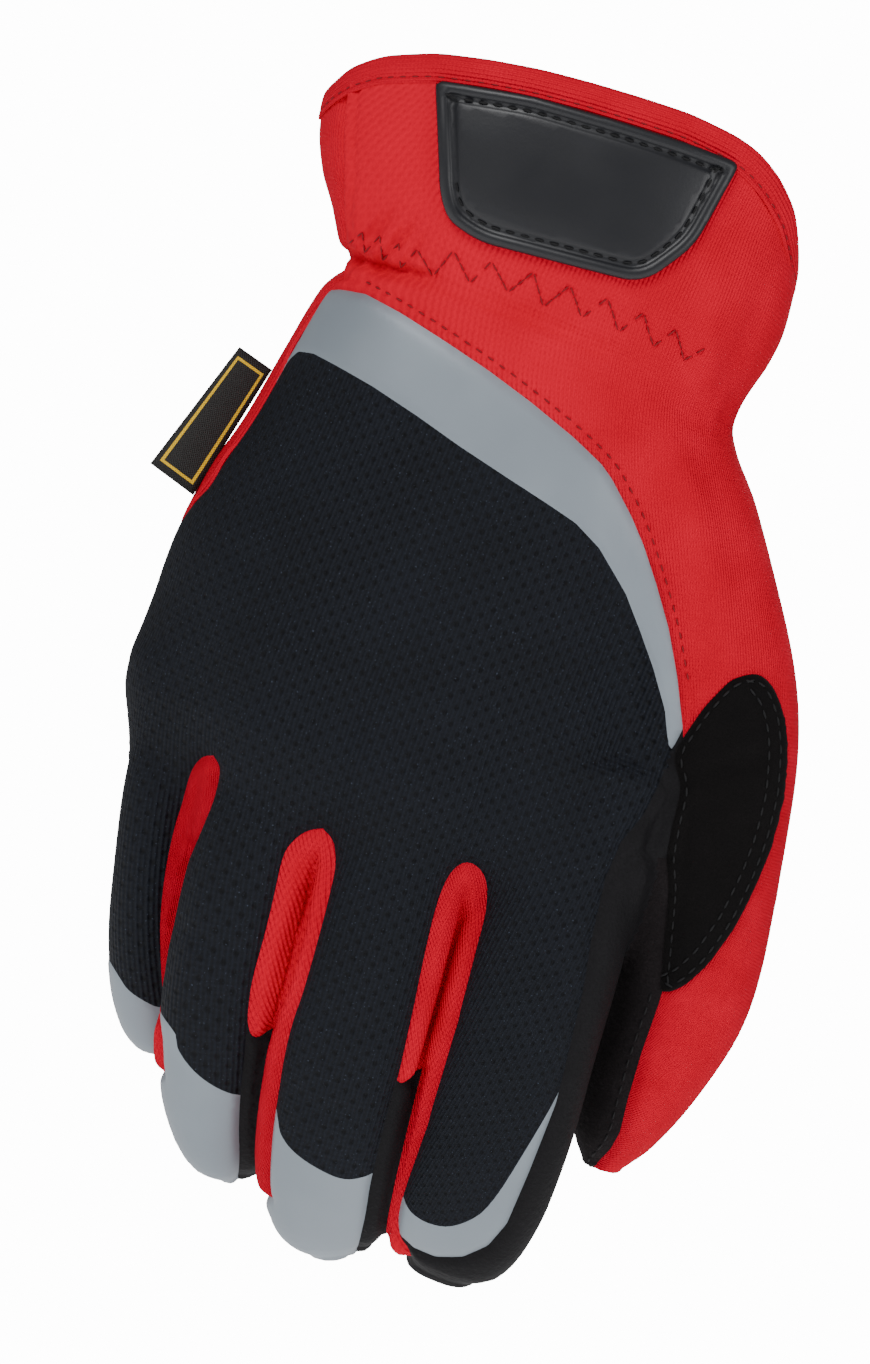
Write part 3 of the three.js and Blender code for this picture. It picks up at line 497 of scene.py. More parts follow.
def seamColumns(p):
    # every scalar that the cloth is cut and sorted by, zero on its seam
    x, y, z = p.T
    columns = {}
    hand, handAngle = handField(p)
    web = webField(p)
    thumb, thumbAlong, thumbAngle = tubeField(tubes["thumb"], p)
    plain, pressed = fingerFields(p)
    radius = gloveForm["palmDepth"] / 2
    turned = lambda angle, name: np.sin(angle - math.radians(seamAngles[name]))
    columns["rim"] = z - alongLine(seamLines["rim"], x)
    columns["above"] = signedTo(x, z, seamLines["aboveYoke"])
    yoke = signedTo(x, z, [(-60, -41)] + seamLines["yokeTop"][1:] + seamLines["yokeBottom"] + [(-60, -66)])
    columns["yoke"] = np.maximum(-columns["above"], np.maximum(yoke, y - 3))
    columns["right"] = signedTo(x, z, [(80, -30)] + seamLines["backRight"] + [(30, -214), (-150, -260), (-150, -30)])
    for name, (slot, _, _) in slotPieces.items():
        low, high = seamLines[slot + "Low"], seamLines[slot + "High"]
        columns[name] = signedTo(x, z, low + high[:0:-1]) + 0.45 * np.clip(y - 1, 0, 12)
        below = z < low[0][1] - 6
        columns[name + "_low"] = np.where(below, alongLine(low, z, 1) - x, columns[name])
        columns[name + "_high"] = np.where(below, x - alongLine(high, z, 1), columns[name])
    left = np.interp(z, [-100, -84, -42],
                     [seamAngles["handLeft"], seamAngles["handLeftTop"], seamAngles["handLeftTop"]])
    columns["handLeft"] = np.sin(handAngle - np.radians(left)) * radius * 1.4
    fade = np.clip((z - seamPlaces["gussetEnd"]) / (wristZ - seamPlaces["gussetEnd"]), 0, 1)
    gusset = seamAngles["handLeft"] + (seamAngles["gusset"] - seamAngles["handLeft"]) * np.sqrt(fade)
    columns["gusset"] = np.sin(handAngle - np.radians(gusset)) * radius * 1.4
    columns["cuffRight"] = turned(handAngle, "cuffRight") * radius * 1.4
    columns["cuffLeft"] = x - alongLine(seamLines["cuffLeft"], z, 1)
    columns["palmTop"] = z - (seamPlaces["palmTop"] - 5 * ((x - 4) / 40) ** 2)
    columns["thumbOwn"] = thumb - np.minimum(hand, web)
    for name in fingerOrder:
        columns["own_" + name] = pressed[name] - np.minimum(hand, web)
        if name != "little":
            beside = fingerOrder[fingerOrder.index(name) + 1]
            columns["between_" + name] = np.clip(pressed[name] - pressed[beside], -4, 4)
        columns["sin_" + name], columns["cos_" + name] = np.sin(plain[name][2]), np.cos(plain[name][2])
        columns["palmRight_" + name] = turned(plain[name][2], "fingerPalm") * fingerSizes[name]["depth"] / 2
        columns["palmLeft_" + name] = np.sin(plain[name][2] + math.radians(seamAngles["fingerPalm"])) * \
            fingerSizes[name]["depth"] / 2
        columns["tip_" + name] = (plain[name][1] - seamPlaces["fingertip"]) * fingerSizes[name]["length"]
        columns["film_" + name] = z - alongLine(seamLines["film" + name.capitalize()], x)
    columns["littleLeft"] = turned(plain["little"][2], "littleLeft") * fingerSizes["little"]["depth"] / 2
    for name, middle in (("Ring", 1.7), ("Middle", 31.9)):
        tip = np.clip(0.5 * (x - middle) ** 2, 0, 6)
        columns["wallEnd" + name] = z - seamPlaces["wallEnd" + name] - tip
    for name, end in seamPlaces["stripEnd"].items():
        columns["stripEnd_" + name] = z - end
    columns["crotch"] = y - seamPlaces["crotchPalm"]
    columns["thumbSeam"] = x - alongLine(seamLines["thumbSeam"], z, 1)
    columns["sin_thumb"], columns["cos_thumb"] = np.sin(thumbAngle), np.cos(thumbAngle)
    columns["thumbStart"] = (thumbAlong - seamPlaces["thumbPalmStart"]) * thumbSizes["length"]
    columns["palmRight"] = x - alongLine(seamLines["palmRight"], z, 1)
    columns["waist"] = z - seamPlaces["waist"]
    slope = unit(fieldSlope(p))
    columns["normalX"], columns["normalY"] = slope[:, 0], slope[:, 1]
    columns["edge"] = (slope[:, 1] - 0.3) * 6
    columns["side"] = y
    columns["x"], columns["z"] = x, z
    columns["sin_hand"], columns["cos_hand"] = np.sin(handAngle), np.cos(handAngle)
    names = list(columns)
    return names, np.stack([columns[n] for n in names], 1)


def cutAlong(points, faces, columns, fixed, k, mask):
    # splits the triangles along the zero of column k, first sliding close corners onto it
    corner = columns[faces, k]
    touched = (corner.min(1) < 0) & (corner.max(1) > 0) & (mask[faces].sum(1) > 1)
    if not touched.any():
        return points, faces, columns, fixed
    part = faces[touched]
    key = np.sort(part[:, [[0, 1], [1, 2], [2, 0]]].reshape(-1, 2), axis=1)
    flat, which = np.unique(key[:, 0] * len(points) + key[:, 1], return_inverse=True)
    a, b = flat // len(points), flat % len(points)

    def crossings():
        s = columns[:, k]
        crossed = (s[a] * s[b] < 0) & mask[a] & mask[b]
        return crossed, np.where(crossed, s[a] / np.where(crossed, s[a] - s[b], 1), 0.5)

    crossed, share = crossings()
    for own, other, t in ((a, b, share), (b, a, 1 - share)):
        close = np.nonzero(crossed & (t < 0.3) & ~fixed[own])[0]
        close = close[np.argsort(-t[close], kind="stable")]
        slot = np.full(len(points), -1)
        slot[own[close]] = np.arange(len(close))
        chosen = close[slot[slot >= 0]]
        c, o, t = own[chosen], other[chosen], t[chosen][:, None]
        points[c] += t * (points[o] - points[c])
        columns[c] += t * (columns[o] - columns[c])
        columns[c, k] = 0
        fixed[c] = True
    crossed, share = crossings()
    split = np.nonzero(crossed)[0]
    if not len(split):
        return points, faces, columns, fixed
    t = share[split][:, None]
    fresh = np.full(len(flat), -1)
    fresh[split] = len(points) + np.arange(len(split))
    newColumns = columns[a[split]] + t * (columns[b[split]] - columns[a[split]])
    newColumns[:, k] = 0
    points = np.vstack([points, points[a[split]] + t * (points[b[split]] - points[a[split]])])
    columns = np.vstack([columns, newColumns])
    fixed = np.concatenate([fixed, np.ones(len(split), bool)])
    middle = fresh[which.reshape(-1)].reshape(-1, 3)
    count = (middle >= 0).sum(1)
    out = [faces[~touched], part[count == 0]]
    fans = []
    for face, mid in zip(part[count > 0].tolist(), middle[count > 0].tolist()):
        cuts = [i for i in range(3) if mid[i] >= 0]
        if len(cuts) == 1:
            i = cuts[0]
            v = [face[i], face[(i + 1) % 3], face[(i + 2) % 3]]
            fans += [(v[0], mid[i], v[2]), (mid[i], v[1], v[2])]
        elif len(cuts) == 2:
            i = ({0, 1, 2} - set(cuts)).pop()
            v = [face[i], face[(i + 1) % 3], face[(i + 2) % 3]]
            m1, m2 = mid[(i + 1) % 3], mid[(i + 2) % 3]
            fans += [(v[0], v[1], m1), (v[0], m1, m2), (m2, m1, v[2])]
        else:
            fans += [(face[0], mid[0], mid[2]), (mid[0], face[1], mid[1]),
                     (mid[2], mid[1], face[2]), (mid[0], mid[1], mid[2])]
    return points, np.vstack(out + [np.array(fans, int)]), columns, fixed


def cutCloth(points, faces):
    # cuts the glove's surface along its seams and names the panel of each triangle
    names, columns = seamColumns(points)
    column = {n: i for i, n in enumerate(names)}
    fixed = np.zeros(len(points), bool)
    at = lambda n: columns[:, column[n]]
    angleOf = lambda n: np.degrees(np.arctan2(at("sin_" + n), at("cos_" + n)))
    finger = lambda n: at("own_" + n) < 1.0
    front = lambda: at("side") < 4
    faced = lambda: at("normalY") < 0.35
    plan = [
        ("rim", lambda: at("z") > -20),
        ("above", lambda: front() & (at("x") < 68) & (at("z") > -114)),
        ("handLeft", lambda: (at("x") < 0) & (at("z") < -30) & (at("z") > -146)),
        ("yoke", lambda: at("side") < 8),
        ("right", lambda: (at("side") < 26) & (at("z") < -98) & (at("x") > 35)
         & ((at("thumbOwn") > -2) | finger("index"))),
        ("gusset", lambda: (at("x") < 0) & (at("z") < -30) & (at("z") > -96)),
        ("cuffRight", lambda: (angleOf("hand") > 60) & (at("z") > -75) & (at("thumbOwn") > -1)),
        ("cuffLeft", lambda: (at("x") < 0) & (at("z") > -44) & front()),
        ("palmTop", lambda: ~front() & (at("z") > -60)),
        ("thumbOwn", lambda: (at("x") > 20) & (at("z") < -34)),
        ("thumbSeam", lambda: (at("thumbOwn") < 3) & (at("z") < -104) & (np.abs(angleOf("thumb")) < 80)),
        ("palmRight", lambda: (at("normalY") > -0.3) & (at("z") < -30) & (at("x") > 20)),
        ("thumbStart", lambda: (at("thumbOwn") < 1)),
        ("littleLeft", lambda: finger("little") & (angleOf("little") < -50)),
        ("waist", lambda: at("x") < -20),
        ("between_index", lambda: finger("index") & finger("middle")),
        ("between_middle", lambda: finger("middle") & finger("ring")),
        ("between_ring", lambda: finger("ring") & finger("little")),
        ("wallEndRing", lambda: finger("ring") & (angleOf("ring") > 0)),
        ("wallEndMiddle", lambda: finger("middle") & (angleOf("middle") > 0)),
    ]
    for name, (_, low, high) in slotPieces.items():
        plan.append((name, lambda n=name: at("side") < slotDepths[n]))
        plan.append(("stripEnd_" + high, lambda f=high: finger(f) & (angleOf(f) < 30)))
        plan.append((name + "_low", lambda n=name, f=low: finger(f) & faced()))
        plan.append((name + "_high", lambda n=name, f=high: finger(f) & faced()))
    plan.append(("crotch", lambda: (at("z") > -152) & (at("z") < -130) & ~front() & (at("x") > -32) & (at("x") < 36)))
    for name in fingerOrder:
        if name != "index":
            plan.append(("palmRight_" + name, lambda n=name: finger(n) & (angleOf(n) > 75)))
        if name != "little":
            plan.append(("palmLeft_" + name, lambda n=name: finger(n) & (angleOf(n) < -75)))
        plan.append(("film_" + name, lambda n=name: finger(n) & (np.abs(angleOf(n)) < 115)))
        plan.append(("tip_" + name, lambda n=name: finger(n)))
    plan.append(("edge", lambda: (at("z") < -160) & (finger("index") | finger("middle") | finger("ring")
                                                     | finger("little"))))
    for name, mask in plan:
        points, faces, columns, fixed = cutAlong(points, faces, columns, fixed, column[name], mask())
    middle = columns[faces].mean(axis=1)
    at = lambda n: middle[:, column[n]]
    facing = at("normalY") < 0.05
    label = np.full(len(faces), "palm_panel", dtype=object)
    front = at("side") < 3
    owner = np.argmin(np.stack([np.zeros(len(faces))] + [at("own_" + n) for n in fingerOrder] + [at("thumbOwn")], 1), 1)
    onHand, onThumb = owner == 0, owner == 5
    onBody = onHand | onThumb
    angle = angleOf("hand")
    cuffBack = (angle > seamAngles["cuffLeft"]) & (angle < seamAngles["cuffRight"])
    knit = (at("above") < 0) & ((at("cuffLeft") > 0) | (angle > 0) | (at("waist") < 0)) & cuffBack
    palmSide = (at("normalY") > 0) & (at("z") < -38)
    knit &= ~palmSide | (at("palmRight") > 0)
    label[onBody & knit & (front | (at("z") > -41) | (angle > 60))] = "gauntlet_back"
    label[onHand & palmSide & (at("palmRight") > 0) & (at("x") > 20)] = "gauntlet_back"
    label[onBody & (at("yoke") < 0) & (at("handLeft") > 0)] = "reflective_yoke"
    isBack = (at("handLeft") > 0) & (at("above") > 0) & (at("yoke") > 0) & (at("right") < 0) & (np.abs(angle) < 115)
    label[onBody & isBack] = "back_panel"
    label[onHand & ~cuffBack & (at("palmTop") > 0)] = "gauntlet_palm"
    label[onHand & (at("cuffLeft") < 0) & (at("x") < 0) & (at("waist") > 0)] = "gauntlet_palm"
    label[onHand & (at("handLeft") < 0) & (at("gusset") > 0) & (at("x") < 0) & (at("z") > -96) & (at("waist") < 0)] \
        = "gauntlet_palm"
    angle = angleOf("thumb")
    knit = onThumb & np.where(palmSide, at("palmRight") > 0, (at("thumbSeam") > 0) | (angle > 80))
    label[knit & ((at("z") < -100) | (angle > 80) | palmSide)] = "gauntlet_back"
    label[onThumb & ~knit & (at("thumbStart") > 0)] = "thumb_palm"
    for i, name in enumerate(fingerOrder):
        own = owner == i + 1
        angle = angleOf(name)
        turn = seamAngles["fingerBack"]
        beyond = at("tip_" + name) > -seamPlaces["tipShare"] * fingerSizes[name]["length"]
        back = own & ((np.abs(angle) < turn) | beyond) & (at("tip_" + name) < 0)
        back &= (at("right") < 0) | (name != "index")
        back &= at("littleLeft") > 0 if name == "little" else (angle < turn) | beyond
        back &= (at("edge") < 0) | (at("z") > -160)
        label[back] = "back_panel"
        label[back & (at("film_" + name) < 0)] = "tip_film_" + name
        for piece, (_, low, high) in slotPieces.items():
            if name == low:
                wall = own & ((facing & (at(piece + "_low") < 0)) |
                              (~facing & (at("normalX") > -0.2) & (angle > 20) & (at("palmRight_" + name) < 0)))
            elif name == high:
                wall = own & ((facing & (at(piece + "_high") < 0)) |
                              (~facing & (at("normalX") < 0.2) & (angle < -20) & (at("palmLeft_" + name) > 0)))
            else:
                continue
            label[wall] = piece
            if name == low and name != "little":
                label[wall & (at("wallEnd" + name.capitalize()) < 0)] = "palm_panel"
            if name == high:
                ended = wall & (at("stripEnd_" + name) < 0)
                label[ended] = "palm_panel"
                label[ended & back & facing & (at("film_" + name) < 0)] = "tip_film_" + name
    for piece in slotPieces:
        label[onHand & (at(piece) < 0) & (at("crotch") < 0) & (at("z") > -156)] = piece
    keep = at("rim") < 0
    return points, faces[keep], label[keep]


def offsetLine(line, distance):
    # a front-view line moved sideways, to its left when distance is positive
    line = np.array(line, float)
    run = np.gradient(line, axis=0)
    run /= np.linalg.norm(run, axis=1)[:, None]
    return (line + distance * np.stack([-run[:, 1], run[:, 0]], 1)).tolist()


# Dents and folds drawn on the cloth: width, height (below zero sinks in) and front-view line
folds = [
    # the elastic draws the cuff in, deepest on the little finger's side
    (1.15, -2.3, [(-35.5, -32.4), (-31, -32.8), (-26, -33.3), (-20, -32.4), (-15, -31.8)]),
    (1.4, 0.7, [(-35, -29.6), (-29, -29.9), (-22, -29.0)]),
    (1.9, 1.0, [(-34, -35.4), (-24, -35.6), (-10, -34.8), (8, -35.4), (24, -37)]),
    (0.85, -2.2, [(30.4, -141), (31.5, -150), (32.5, -160), (33.5, -172), (34, -181)]),
    (0.85, -2.2, [(0.7, -142.8), (2, -150), (3.5, -160), (4.3, -170), (4.6, -182)]),
    (0.9, -1.0, [(-25.2, -138.5), (-25.4, -147), (-24.8, -156), (-23.6, -166)]),
    (1.6, -0.55, [(-10, -32.4), (4, -32.6), (18, -33.6), (32, -35.6), (46, -38.8)]),
    (1.0, -1.1, [(-28, -22), (-29.5, -27), (-31, -31)]),
    (1.0, -1.2, [(-23, -23), (-25, -27), (-26.5, -31.5)]),
    (0.9, -0.8, [(-20.5, -24), (-21.5, -28), (-21.5, -31.5)]),
    (1.0, 0.8, [(-26, -24), (-27.5, -28), (-29, -32)]),
    (1.2, -0.45, [(-17, -25), (-17.5, -29), (-17, -32)]),
    (1.8, 0.9, [(-36, -20), (-33.5, -26), (-31.5, -31)]),
    (3.2, -0.7, [(39, 6), (36, -4), (33.5, -14), (32, -22)]),
    (2.6, 0.7, [(36, -10), (37, -20), (39, -28), (43, -35)]),
    (2.6, -0.8, [(44, -8), (45.5, -18), (45, -28), (43, -36)]),
    (1.6, -0.45, [(30, -22), (33, -29), (37, -34)]),
    (1.6, 0.35, [(20, -26), (24, -32), (28, -36)]),
    # the knit runs from the wrist to the thumb
    (4.0, 0.7, [(28, -38), (38, -46), (48, -58), (56, -72)]),
    (3.2, -0.6, [(40, -42), (50, -53), (60, -66), (68, -80)]),
    (1.6, -0.5, [(34, -38), (40, -40), (47, -41)]),
    # the back stretches over the knuckles and sinks between the tendons
    (3.4, -0.8, [(-24, -118), (-25, -128), (-25.6, -134)]),
    (4.0, -0.8, [(-3, -112), (-1, -126), (0, -140)]),
    (4.0, -0.8, [(28, -108), (29.5, -122), (30, -137)]),
    (2.6, -0.4, [(-38, -94), (-28, -97), (-16, -97)]),
    (2.4, -0.8, [(58, -104), (50, -106), (42, -111)]),
    (2.2, -0.6, [(58, -111), (50, -114), (44, -121)]),
    (2.2, -0.5, [(57, -122), (50, -124), (45, -130)]),
    (2.2, -0.35, [(36, -166), (44, -167.5), (55, -165)]),
    (2.2, -0.35, [(9, -172), (17, -174), (27, -173)]),
    (2.0, -0.35, [(-21, -167), (-12, -169), (-5, -168)]),
    (1.8, -0.3, [(36, -187), (44, -189), (55, -187)]),
    (1.8, -0.3, [(10, -190), (18, -192), (28, -190)]),
    # the leather puckers between the thumb and the first finger
    (1.6, -1.5, [(59, -104), (62.5, -111), (61.5, -121), (57, -129)]),
    (1.4, 0.8, [(66, -105), (63.5, -114), (64.5, -125)]),
    (1.4, 0.7, [(58, -118), (62, -127), (63.5, -138)]),
    (1.8, -0.9, [(64, -107), (68, -103), (72, -100), (77, -97)]),
    # the thumb
    (2.2, -0.5, [(77, -140), (82, -138), (88, -138)]),
    (2.4, 0.4, [(78, -128), (84, -124), (88, -122)]),
    (2.0, -0.4, [(76, -158), (80, -161), (85, -160)]),
]
palmFolds = [
    (2.4, -1.0, [(-38, -128), (-20, -122), (4, -120), (26, -126), (46, -124)]),
    (2.6, -0.9, [(-34, -104), (-14, -98), (8, -100), (24, -110)]),
    (3.0, -1.1, [(38, -118), (26, -104), (16, -88), (10, -66), (8, -48)]),
    (3.0, -0.5, [(-30, -66), (-12, -60), (4, -62)]),
    (1.5, -1.1, [(-26, -37), (-8, -36), (12, -36), (34, -37)]),
    (1.6, -0.9, [(36, -162), (48, -164), (60, -162)]),
    (1.6, -0.9, [(8, -166), (18, -168), (30, -166)]),
    (1.6, -0.9, [(-20, -163), (-10, -165), (0, -164)]),
    (1.5, -0.8, [(38, -186), (48, -188), (62, -186)]),
    (1.5, -0.8, [(12, -190), (20, -192), (32, -190)]),
    (1.5, -0.8, [(-14, -186), (-6, -188), (4, -187)]),
    (1.5, -0.7, [(-34, -158), (-28, -160), (-20, -160)]),
    (1.8, -0.8, [(62, -128), (74, -126), (88, -130)]),
    (1.6, -0.7, [(66, -156), (74, -155), (86, -158)]),
]
zigzagCorners = [(-34, -30.6), (-32.2, -27.8), (-30.4, -31.4), (-28.6, -27.4), (-26.6, -31.8), (-24.6, -27.6),
                 (-22.8, -31.9), (-21, -27.6), (-16.2, -31.4), (-14.2, -25.5), (-9, -30.4), (-6.5, -25), (-1.5, -29.6),
                 (1.8, -24.2), (5.9, -29.9), (9.3, -24.2), (13.6, -29.3), (17, -24), (21.2, -29.4), (24.5, -24.3),
                 (28.5, -29.8), (31.5, -25), (35, -30), (38, -26.5)]
folds += [(0.75, -0.5, [a, b]) for a, b in zip(zigzagCorners[:-1], zigzagCorners[1:])]
# rolled edges, which don't fade out at their ends: seam line, first and last point, distance from it, width, height
rolls = [("yokeTop", 3, None, 1.0, 0.75, 0.5), ("yokeTop", 3, None, 2.1, 0.7, -0.4),
         ("cuffLeft", 1, -1, 1.1, 0.7, 0.55), ("cuffLeft", 1, -1, 2.3, 0.7, -0.45)]
folds += [(width, height, offsetLine(seamLines[name][first:last], away), "open")
          for name, first, last, away, width, height in rolls]
sewing = {"valley": 0.62, "valleyWidth": 1.1, "pillow": 0.35, "pillowWidth": 3.0, "stripPuff": 0.95,
          "stripWidth": 1.3, "filmLift": 0.22, "filmWidth": 0.4}
# where the elastic lies at one x, how far it drops across the wrist, and the gathers beside it
elastic = {"at": -31.5, "atX": -30, "drop": 4.0, "dropOver": 75, "gathers": 30, "height": 0.55, "reach": 5.5,
           # x and strength of the gathers on the back of the hand
           "uneven": [(-38, 1.0), (-15, 0.5), (10, 0.3), (45, 0.6)]}
printed = {"back_panel", "reflective_yoke"} | {"tip_film_" + name for name in fingerOrder}


def foldHeight(p, table, onSide):
    total = np.zeros(len(p))
    for width, height, line, *isOpen in table:
        away, place, _ = toPolyline(p[:, 0], p[:, 2], line)
        ends = 1.0 if isOpen else np.sqrt(np.sin(np.pi * np.clip(place, 0.02, 0.98)))
        total += height * ends * np.exp(-(away / width) ** 2)
    return total * onSide


def puckerHeight(p):
    # short gathers above and below the elastic, all round the wrist
    size = elastic
    _, angle = handField(p)
    line = size["at"] - size["drop"] * (p[:, 0] - size["atX"]) / size["dropOver"]
    reach = np.exp(-((p[:, 2] - line) / size["reach"]) ** 2)
    gather = np.cos(size["gathers"] * angle + 2.2 * np.sin(3 * angle)) * (0.6 + 0.4 * np.sin(5 * angle + 1))
    uneven = np.where(p[:, 1] < 0, np.interp(p[:, 0], *np.array(size["uneven"]).T), 1.0)
    return size["height"] * reach * gather * uneven


def vertexPanels(count, faces, label):
    names = sorted(set(label))
    number = {n: i for i, n in enumerate(names)}
    own = np.zeros((count, len(names)), bool)
    ids = np.array([number[n] for n in label])
    for c in range(3):
        own[faces[:, c], ids] = True
    return names, own


def distanceTo(points, seeds):
    tree = KDTree(len(seeds))
    for i, p in enumerate(seeds):
        tree.insert(p, i)
    tree.balance()
    return np.array([tree.find(p)[2] for p in points])


def shapeCloth(points, faces, label):
    # sinks the seams, fills the panels between them and lays in the folds
    names, own = vertexPanels(len(points), faces, label)
    touching = own.sum(1)
    flush = np.array([n in printed for n in names])
    seam = touching > 1
    sewn = seam & (own[:, ~flush].any(1) | (touching > 2))
    fromSewn = distanceTo(points, points[sewn])
    fromFlush = distanceTo(points, points[seam & ~sewn])
    normal = unit(fieldSlope(points))
    strip = own[:, [n.startswith("fourchette") for n in names]].any(1) & ~seam
    film = own[:, [n.startswith("tip_film") or n == "reflective_yoke" for n in names]].any(1) & ~seam
    lift = -sewing["valley"] * np.exp(-(fromSewn / sewing["valleyWidth"]) ** 2)
    lift += sewing["pillow"] * (1 - np.exp(-(fromSewn / sewing["pillowWidth"]) ** 2))
    lift += strip * sewing["stripPuff"] * (1 - np.exp(-(fromSewn / sewing["stripWidth"]) ** 2))
    lift += film * sewing["filmLift"] * (1 - np.exp(-(np.minimum(fromFlush, fromSewn) / sewing["filmWidth"]) ** 2))
    facing = np.clip(-normal[:, 1] * 3 + 0.6, 0, 1)
    lift += foldHeight(points, folds, facing)
    lift += foldHeight(points, palmFolds, np.clip(normal[:, 1] * 3 - 0.6, 0, 1))
    lift += puckerHeight(points)
    return points + normal * lift[:, None], normal


def addObject(name, data):
    thing = bpy.data.objects.new(name, data)
    bpy.context.collection.objects.link(thing)
    return thing


def toMesh(name, points, faces):
    # points in millimetres, faces as lists
    mesh = bpy.data.meshes.new(name)
    mesh.from_pydata((points / 1000).tolist(), [], faces)
    mesh.shade_smooth()
    return addObject(name, mesh)


def closedSheet(name, top, bottom, faces):
    # closes a sheet with its own underside and rim
    count = len(top)
    rim = [[b, a, a + count, b + count] for a, b in openEdges(faces)]
    return toMesh(name, np.vstack([top, bottom]), faces.tolist() + (faces[:, ::-1] + count).tolist() + rim)


def read(items, name, width=1, kind=float):
    values = np.empty(len(items) * width, kind)
    items.foreach_get(name, values)
    return values.reshape(-1, width) if width > 1 else values


def cornerPoints(mesh):
    return read(mesh.loops, "vertex_index", kind=int)


def writeUv(mesh, values):
    layer = mesh.uv_layers.get("cloth") or mesh.uv_layers.new(name="cloth")
    layer.data.foreach_set("uv", np.asarray(values, np.float32).ravel())


def layFlat(piece):
    # unwraps a panel as its cloth was cut, in millimetres, with the grain running up the glove
    bpy.context.view_layer.objects.active = piece
    for other in bpy.context.selected_objects:
        other.select_set(False)
    piece.select_set(True)
    mesh = piece.data
    mesh.uv_layers.new(name="cloth")
    bpy.ops.object.mode_set(mode="EDIT")
    bpy.ops.mesh.select_all(action="SELECT")
    bpy.ops.uv.unwrap(method="CONFORMAL", margin=0)
    bpy.ops.object.mode_set(mode="OBJECT")
    uv = read(mesh.uv_layers["cloth"].data, "uv", 2)
    corner = cornerPoints(mesh)
    place = read(mesh.vertices, "co", 3)[corner] * 1000
    front = np.abs(read(mesh.vertices, "normal", 3)[corner][:, 1]) > 0.5
    a = uv[front] - uv[front].mean(0)
    b = place[front][:, [0, 2]]
    b = b - b.mean(0)
    (m00, m01), (m10, m11) = a.T @ b
    angle = math.atan2(m01 - m10, m00 + m11)
    tri = place.reshape(-1, 3, 3)
    flat = uv.reshape(-1, 3, 2)
    area = np.linalg.norm(np.cross(tri[:, 1] - tri[:, 0], tri[:, 2] - tri[:, 0]), axis=1).sum()
    e1, e2 = flat[:, 1] - flat[:, 0], flat[:, 2] - flat[:, 0]
    flatArea = np.abs(e1[:, 0] * e2[:, 1] - e1[:, 1] * e2[:, 0]).sum()
    scale = math.sqrt(area / flatArea)
    c, s = math.cos(angle) * scale, math.sin(angle) * scale
    uv = uv @ np.array([[c, s], [-s, c]])
    writeUv(mesh, uv)


# Finishes
def toLinear(code):
    values = [int(code[i:i + 2], 16) / 255 for i in (1, 3, 5)]
    return tuple(v / 12.92 if v <= 0.04045 else ((v + 0.055) / 1.055) ** 2.4 for v in values) + (1.0,)


def addNode(tree, kind, settings=None, **links):
    node = tree.nodes.new(kind)
    for key, value in (settings or {}).items():
        if hasattr(node, key):
            setattr(node, key, value)
        else:
            node.inputs[key].default_value = value
    for key, source in links.items():
        target = node.inputs[int(key[1:])] if key[1:].isdigit() else node.inputs[key.replace("_", " ")]
        tree.links.new(source, target)
    return node


def newMaterial(name, base, roughness, **shader):
    material = bpy.data.materials.new(name)
    material.use_nodes = True
    tree = material.node_tree
    skin = tree.nodes["Principled BSDF"]
    skin.inputs["Base Color"].default_value = toLinear(base)
    skin.inputs["Roughness"].default_value = roughness
    for key, value in shader.items():
        skin.inputs[key.replace("_", " ")].default_value = value
    return material, tree, skin


def noise(tree, place, scale, detail):
    return addNode(tree, "ShaderNodeTexNoise", {"Scale": scale, "Detail": detail}, Vector=place).outputs[0]


def calc(tree, kind, a, b=None, c=None, clamp=False):
    node = tree.nodes.new("ShaderNodeMath")
    node.operation, node.use_clamp = kind, clamp
    for i, value in enumerate((a, b, c)):
        if value is None:
            continue
        if isinstance(value, (int, float)):
            node.inputs[i].default_value = value
        else:
            tree.links.new(value, node.inputs[i])
    return node.outputs[0]


def blendColour(tree, share, first, second):
    node = addNode(tree, "ShaderNodeMix", {"data_type": "RGBA"})
    tree.links.new(share, node.inputs[0])
    for i, value in ((6, first), (7, second)):
        if isinstance(value, str):
            node.inputs[i].default_value = toLinear(value)
        else:
            tree.links.new(value, node.inputs[i])
    return node.outputs[2]


def clothPlace(tree):
    # the place on the flat cloth in millimetres, then its two parts
    uv = addNode(tree, "ShaderNodeUVMap", {"uv_map": "cloth"}).outputs[0]
    part = addNode(tree, "ShaderNodeSeparateXYZ", None, _0=uv)
    return uv, part.outputs[0], part.outputs[1]


def solidPlace(tree):
    # the place in the piece itself, in metres
    return addNode(tree, "ShaderNodeTexCoord").outputs["Object"]


def wave(tree, place, pitch):
    return calc(tree, "SINE", calc(tree, "MULTIPLY", place, 2 * math.pi / pitch))


def ramp(tree, value, slope, start):
    return calc(tree, "MULTIPLY_ADD", value, slope, start, clamp=True)


def raiseSurface(tree, skin, height, distance, strength=1.0):
    bump = addNode(tree, "ShaderNodeBump", {"Strength": strength, "Distance": distance / 1000})
    tree.links.new(height, bump.inputs["Height"])
    tree.links.new(bump.outputs[0], skin.inputs["Normal"])


# shade is the darker red of the rib pattern, and is also painted as shade in the rib valleys
knitFinish = {"ribPitch": 0.62, "ribSlant": 0.1, "rowPitch": 0.8, "red": "#DE062A", "shade": "#AC0420",
              "light": "#E60C32"}


